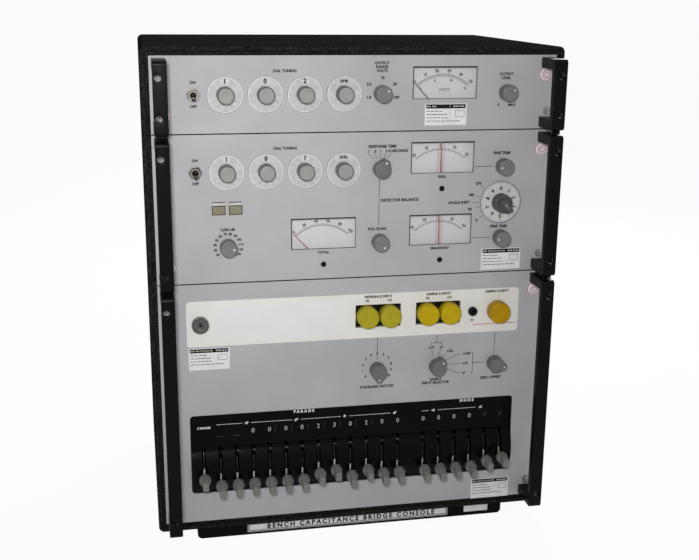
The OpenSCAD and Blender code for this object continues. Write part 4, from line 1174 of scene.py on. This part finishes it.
# %% Words and rules on the upper panels
SWITCH_WORDS = (("ON", 0, 14.0), ("OFF", 0, -13.0))
DIAL_WORDS = (("DIAL TUNING", 23, 26.5),)
UPPER_WORDS = {
    "oscillator_toggle": SWITCH_WORDS,
    "detector_toggle": SWITCH_WORDS,
    "oscillator_dial_2": DIAL_WORDS,
    "detector_dial_2": DIAL_WORDS,
    "output_range_knob": (("OUTPUT", 0, 35.0), ("RANGE", 0, 30.6), ("VOLTS", 0, 26.2), ("10", 0.7, 18.2, 4.6),
                          ("3.0", -15.5, 10.6, 4.6), ("30", 15.6, 10.6, 4.6), ("1.0", -15.5, -4.4, 4.6),
                          ("100", 17.6, -4.8, 4.6)),
    "output_level_knob": (("OUTPUT", -1.0, 21.6), ("LEVEL", -1.0, 17.0), ("0", -9.4, -14.8),
                          ("MAX", 7.4, -15.0)),
    "gain_knob": (("GAIN dB", 0, 20.4),),
    "time_constant_knob": (("RESPONSE TIME", 2.0, 26.6, 4.8), ("DETECTOR BALANCE", 24.5, -38.6, 4.8)),
    "sensitivity_knob": (("FULL SCALE", -3.0, 15.6),),
    "in_phase_knob": (("FINE TRIM", -2.0, 16.0, 4.8),),
    "quadrature_knob": (("FINE TRIM", -2.0, 13.6, 4.8),),
    "magnitude_needle": (("TOTAL", 0, 14.6),),
    "in_phase_needle": (("REAL", 0, 14.6),),
    "quadrature_needle": (("IMAGINARY", 0, 14.6),),
    "phase_dial": (("ANGLE SHIFT", -52, 0.4, 4.6),),
}
TIMES = ((".1", -15.0, -8.6), (".3", -7.0, -4.6), ("1", 0, 0), ("3", 6.6, 4.4), ("10 SECONDS", 21.0, 8.4))
TIME_ROW = 21.0
PHASES = (("270", -28, 23.4), ("180", -37, 9.5), ("90", -38, -8.5), ("0", -29, -22.6))
PHASE_LINE = (27.4, 32)


def near(node, text, dx, dz, size=4.4):
    word(text, pivot[node].x + dx, pivot[node].z + dz, size)


def print_near(table):
    for node, rows in table.items():
        for row in rows:
            near(node, *row)


def lines_from(node, *points, width=0.6):
    rule([(pivot[node].x + dx, pivot[node].z + dz) for dx, dz in points], width)


print_near(UPPER_WORDS)
ring_of_words("gain_knob", [str(10 * n) for n in range(2, 14)], radius=15.4, first=-128, step=23.3, size=4.0)
for text, dx, foot in TIMES:
    near("time_constant_knob", text, dx, TIME_ROW)
    lines_from("time_constant_knob", (min(dx, 13.0), 18.0), (foot, 12.6), width=0.5)
lines_from("time_constant_knob", (-1.0, -12.0), (-1.0, -69.0))
for node, meter in (("in_phase_knob", "in_phase_needle"), ("quadrature_knob", "quadrature_needle")):
    lines_from(node, (-12.0, 0), (pivot[meter].x + 40.5 - pivot[node].x, 0))
for text, dx, dz in PHASES:
    near("phase_dial", text, dx, dz, 4.6)
    shares = [radius / math.hypot(dx, dz) for radius in PHASE_LINE]
    lines_from("phase_dial", *[(dx * share, dz * share) for share in shares], width=0.5)
lines_from("phase_dial", (-36.0, 0.4), (-PHASE_LINE[0], 0.4), width=0.5)
print_sheet("upper_print")
# A black rule along each seam between two panels is painted shade for the gap between them.
for upper, lower in (("oscillator_panel", "detector_panel"), ("detector_panel", "bridge_panel")):
    low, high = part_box(upper)
    seam = (low.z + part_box(lower)[1].z) / 2 / MM
    rule([(low.x / MM + 1, seam), (high.x / MM - 1, seam)], 1.4)
print_sheet("panel_seam_shade")
print("names on the upper panels", len(UPPER_WORDS))

# %% Words and rules on the bridge panel
FACTOR_RADIUS = 18.6
FACTOR_RISE = 2.0
FACTOR_FIRST = -128
FACTOR_STEP = 25.6
BRIDGE_WORDS = {
    "multiplier_knob": (("STANDARD FACTOR", 0, -23.6, 4.6),),
    "terminal_knob": (("SAMPLE", 0, -18.6), ("INPUT SELECTOR", 0, -23.2, 4.6), ("x10", -7.0, 24.4, 4.6),
                      ("x1", 6.6, 24.4, 4.6), ("CAL", 18.0, 18.5, 4.6), ("x100", 40.0, 13.6, 4.6),
                      ("x10", 38.5, 0.8, 4.6), ("x1", 37.5, -12.0, 4.6)),
    "zero_knob": (("ZERO OFFSET", -3.0, -20.6, 4.6),),
}
THIN_LINES = (
    ((-6.4, 21.6), (-3.6, 11.6)),
    ((6.0, 21.6), (2.2, 11.6)),
    ((12.4, 14.8), (7.2, 9.6)),
    ((33.0, 13.6), (28.0, 13.6), (11.6, 5.6)),
    ((32.8, 0.8), (12.4, 0.8)),
    ((33.0, -12.0), (27.0, -11.0), (12.6, -4.4)),
)
BRACKETS = (
    ((-7.0, 27.5), (-7.0, 30.5), (6.6, 30.5), (6.6, 27.5)),
    ((46.4, 14.0), (48.4, 14.0), (48.4, -12.4), (46.4, -12.4)),
    ((48.4, 0.8), (64.0, 0.8)),
)
for count, text in enumerate(DIGIT_WORDS):
    turned = math.radians(FACTOR_FIRST + FACTOR_STEP * count)
    dx = FACTOR_RADIUS * math.sin(turned)
    near("multiplier_knob", text, dx, FACTOR_RISE + FACTOR_RADIUS * math.cos(turned))
print_near(BRIDGE_WORDS)
knob_to_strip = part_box("terminal_strip")[0].z / MM - pivot["terminal_knob"].z
for node, start in (("multiplier_knob", 13.0), ("terminal_knob", 31.0), ("zero_knob", 12.5)):
    lines_from(node, (0, start), (0, knob_to_strip))
for width, paths in ((0.5, THIN_LINES), (0.6, BRACKETS)):
    for path in paths:
        lines_from("terminal_knob", *path, width=width)
print_sheet("bridge_print")
print("names on the bridge panel", len(BRIDGE_WORDS))

# %% Words on the terminal strip
FIELD_AT = (-101.4, 289.3)
FIELD_SIZE = (144.7, 44.6, 0.3, 2.0)
JACK_X = 148.0
STRIP_SIZE = 4.2
EARTH = ((3.2, 11.4), (2.1, 12.8), (1.0, 14.2))
DASHES = 14
DASH_STEP = 4.1
DASH_LONG = 2.4
field = stand(plate(*FIELD_SIZE), (FIELD_AT[0], strip_y, FIELD_AT[1]))
fix(field, "strip_field", "plate_white")
strip_row = cap_spots[0][2]
cap_x = [spot[0] for spot in cap_spots]
for x, text in zip(cap_x, ("HI", "LO", "HI", "LO")):
    word(text, x, strip_row + 19.6, STRIP_SIZE, strip_y)
TITLES = (((cap_x[0] + cap_x[1]) / 2, "REFERENCE INPUT"), ((cap_x[2] + cap_x[3]) / 2, "SAMPLE A INPUT"),
          (cap_x[4], "SAMPLE B INPUT"))
for x, text in TITLES:
    word(text, x, strip_row + 24.6, STRIP_SIZE, strip_y)
for half, drop in EARTH:
    rule([(JACK_X - half, strip_row - drop), (JACK_X + half, strip_row - drop)], 0.5, strip_y)
rule([(JACK_X, strip_row - 8.6), (JACK_X, strip_row - 11.4)], 0.5, strip_y)
print_sheet("strip_print")
for dash in range(DASHES):
    start = JACK_X + 1.5 + dash * DASH_STEP
    rule([(start, strip_row - 18.0), (start + DASH_LONG, strip_row - 18.0)], 0.9, strip_y)
print_sheet("strip_red_rule", "ink_red")
jack_ring = stand(band(3.4, 4.6, -0.2, 2.4, 48), (JACK_X, strip_y, strip_row))
fix(jack_ring, "jack_ring", "plug_steel")
# Black rings and a black hexagon on the plug's face are painted shade for its grooves and socket.
groove_shades = [band(inner, outer, -0.1, 0.05, 64) for inner, outer in ((7.9, 8.7), (5.6, 6.0), (3.4, 3.8))]
socket = stack([(-0.1, 2.0), (0.05, 2.0), (0.05, 1.0)], 6)
fix(stand(join(groove_shades + [socket]), plug_front), "plug_groove_shade", "ink_black")
print("terminals named", len(cap_x))

# %% [markdown]
# ## Digits over the levers
# Above the bulging guide, the black plate shows the digit that each lever is set to, with thin bars between
# them and a legend rule with unit marks over them. They are white print that lies on the plate.

# %% Digits over the levers
PLATE_FACE = panel_y + 1.0
DIGIT_ROW = 147.1
LEGEND_ROW = 158.0
TITLE_ROW = 168.5
THIN = -0.014
UNITS = (("nF", -138.4), ("pF", -75.9), ("fF", -14.1), ("aF", 51.0), ("uS", 102.0), ("nS", 165.5))
LEGEND_RULES = ((-175.6, -144.0), (-132.6, -81.4), (-70.2, -19.6), (-8.4, 45.0), (87.0, 96.0), (108.0, 159.0))
DIMMED = ("conductance_lever_5", "conductance_lever_6")
BLANK = ("range_lever", "capacitance_lever_1", "capacitance_lever_2") + DIMMED
lever_x = {node: pivot[node].x for node in DIGITS}
first_c = lever_x["capacitance_lever_1"]
pitch_x = lever_x["capacitance_lever_2"] - first_c
for node, digit in DIGITS.items():
    if node not in BLANK:
        word(str(digit), lever_x[node], DIGIT_ROW, 8.4, PLATE_FACE, 0, THIN)
for text, x in UNITS:
    word(text, x, LEGEND_ROW, 4.4, PLATE_FACE)
for start, stop in LEGEND_RULES:
    rule([(start, LEGEND_ROW), (stop, LEGEND_ROW)], 0.5, PLATE_FACE)
word("F A R A D S", -66.3, TITLE_ROW, 5.2, PLATE_FACE)
word("M H O S", 146.4, TITLE_ROW, 5.2, PLATE_FACE)
word("C RANGE", lever_x["range_lever"] + 1, 154.6, 3.8, PLATE_FACE)
print_sheet("lever_print", "ink_white")
for node in DIMMED:
    word(str(DIGITS[node]), lever_x[node], DIGIT_ROW, 7.4, PLATE_FACE, 0, THIN)
for count in range(3, 10):
    x = first_c + (count + 0.36) * pitch_x
    rule([(x, DIGIT_ROW - 4.0), (x, DIGIT_ROW + 4.0)], 0.3, PLATE_FACE)
for count in range(2):
    x = first_c + count * pitch_x
    rule([(x - 4.0, DIGIT_ROW - 5.0), (x + 4.0, DIGIT_ROW - 5.0)], 0.4, PLATE_FACE)
print_sheet("lever_bars", "ink_dim")
print("lever digits", len(DIGITS) - len(BLANK))

# %% [markdown]
# ## Stickers, seals and labels
# Small paper labels were stuck on in the console's working life, and round paper seals cover rack screws.
# A label is a fine grid with a lump wherever it lies over a screw head, made solid by a Solidify modifier.
# A seal is a low dome of paper over a screw head, with rose rings.

# %% Stickers
STICKERS = ((105.2, 536.6, 51.7, 25.5), (182.6, 356.3, 51.2, 26.7), (-182.6, 245.2, 49.5, 27.5),
            (182.7, 42.2, 51.8, 27.8))
STICKER_GRID = (48, 24)
HEADER_DROP = 3.2
LINE_DROP = 8.8
LINE_STEP = 3.9
LINES = ((3.4, 1.6, 0.5), (5.0, 1.4, 0.62), (2.8, 1.6, 0.6), (4.4, 1.6, 0.9))
LUMP_TOP = 3.6
LUMP_FOOT = 11.0
LUMP_HEIGHT = 1.35
PAPER = 0.15
PRINT_FACE = panel_y - PAPER - 0.08
covered = pivot["level_needle"]


def lump(x, z):
    """How far paper is lifted at a place by the screw head under it."""
    away = math.hypot(x - covered.x, z - covered.z)
    slope = min(1, max(0, (LUMP_FOOT - away) / (LUMP_FOOT - LUMP_TOP)))
    return LUMP_HEIGHT * slope * slope * (3 - 2 * slope)


def lift_print(piece):
    """Lays print over the lumps of the paper that it is on."""
    for vertex in piece.data.vertices:
        vertex.co.y -= lump(vertex.co.x / MM, vertex.co.z / MM) * MM


def short_steps(start, stop, level):
    """Points along a level line, close enough together to follow a lump."""
    count = max(1, math.ceil((stop - start) / 2.5))
    return [(start + (stop - start) * n / count, level) for n in range(count + 1)]


def sticker(x, z, width, height):
    """A paper label on a panel, raised where it covers a screw head."""
    deselect()
    bpy.ops.mesh.primitive_grid_add(x_subdivisions=STICKER_GRID[0], y_subdivisions=STICKER_GRID[1], size=1)
    piece = bpy.context.object
    enter_edit()
    bpy.ops.transform.resize(value=(width * MM, height * MM, 1))
    leave_edit()
    for vertex in piece.data.vertices:
        vertex.co.z = lump(x + vertex.co.x / MM, z + vertex.co.y / MM) * MM
    apply_modifier(piece, "SOLIDIFY", thickness=PAPER * MM, offset=1.0)
    smooth(piece)
    return stand(piece, (x, panel_y, z))


for count, (x, z, width, height) in enumerate(STICKERS):
    fix(sticker(x, z, width, height), f"sticker_{count + 1}", "label_paper")
    top = z + height / 2
    left = x - width / 2
    right = left + width
    rule(short_steps(left + 3.9, right - 3.9, top - HEADER_DROP), 4.8, PRINT_FACE)
    for row, (dash, gap, stop) in enumerate(LINES):
        start = left + 2.5
        while start + dash < left + stop * width:
            rule(short_steps(start, start + dash, top - LINE_DROP - row * LINE_STEP), 0.7, PRINT_FACE)
            start += dash + gap
    boxed(right - 14.0, right - 3.0, top - 15.5, top - 8.5, 0.35, PRINT_FACE)
    lift_print(print_sheet(f"sticker_rules_{count + 1}"))
    for start, stop in ((left + 3.0, left + 6.5), (left + 10.0, right - 21.0), (right - 16.0, right - 11.5),
                        (right - 8.5, right - 4.0)):
        rule(short_steps(start, stop, top - HEADER_DROP), 1.4, PRINT_FACE - INK)
    lift_print(print_sheet(f"sticker_header_{count + 1}", "ink_white"))
print("stickers", len(STICKERS))

# %% Seals
SEALS = ((228.6, 583.0), (228.6, 492.8), (228.6, 314.8), (-226.5, 538.5), (-226.5, 360.8))
DOME = [(0.0, 8.9), (0.15, 9.0), (0.4, 8.2), (2.9, 6.8), (3.3, 6.2), (3.4, 4.0), (3.4, 0.4)]
SKIRT_RING = [(0.25, 8.7), (0.45, 8.7), (1.3, 7.9), (1.1, 7.9), (0.25, 8.7)]
for count, (x, z) in enumerate(SEALS):
    at = (x, panel_y, z)
    fix(stand(stack(DOME, 48), at), f"seal_{count + 1}", "label_paper")
    rings = [band(inner, outer, 3.32, 3.42, 48) for inner, outer in ((4.6, 5.6), (2.2, 3.2))]
    rings.append(stack(SKIRT_RING, 48, hollow=True))
    fix(stand(join(rings), at), f"seal_rings_{count + 1}", "seal_rose")
print("seals", len(SEALS))

# %% Labels and lamp tags
FOOT_ROW = 10.4
FOOT_THICK = 0.3
FOOT_BORDER = (-139, 128, 3.7, 17.1)
FOOT_WORDS = "BENCH CAPACITANCE BRIDGE CONSOLE"
TAG_SIZE = (2.4, 0.15, 0.3)
foot_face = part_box("foot_bars")[0].y / MM
for name, x, width, height in (("foot_label", -5.5, 267.0, 13.4), ("foot_tag", 167.0, 33.0, 9.0)):
    label = stand(plate(width, height, FOOT_THICK, 0.8), (x, foot_face, FOOT_ROW))
    fix(label, name, "label_paper")
foot_print = foot_face - FOOT_THICK
for inset in (0.7, 2.4):
    left, right, bottom, top = FOOT_BORDER
    boxed(left + inset, right - inset, bottom + inset, top - inset, 0.8, foot_print)
word(FOOT_WORDS, -2.0, 10.2, 8.8, foot_print, spread=1.42)
print_sheet("foot_label_print")
for count, (low, high) in enumerate(lamp_spans):
    tag = stand(plate(high.x - low.x, *TAG_SIZE), ((low.x + high.x) / 2, panel_y, high.z + 2.2))
    fix(tag, f"lamp_tag_{count + 1}", "tag_cream")
    rule([(low.x + 0.45, high.z + 4.4), (high.x - 0.45, high.z + 4.4)], 0.9)
    boxed(low.x, high.x, low.z, high.z, 0.8)
print_sheet("lamp_rules")
print("lamp tags", len(lamp_spans))
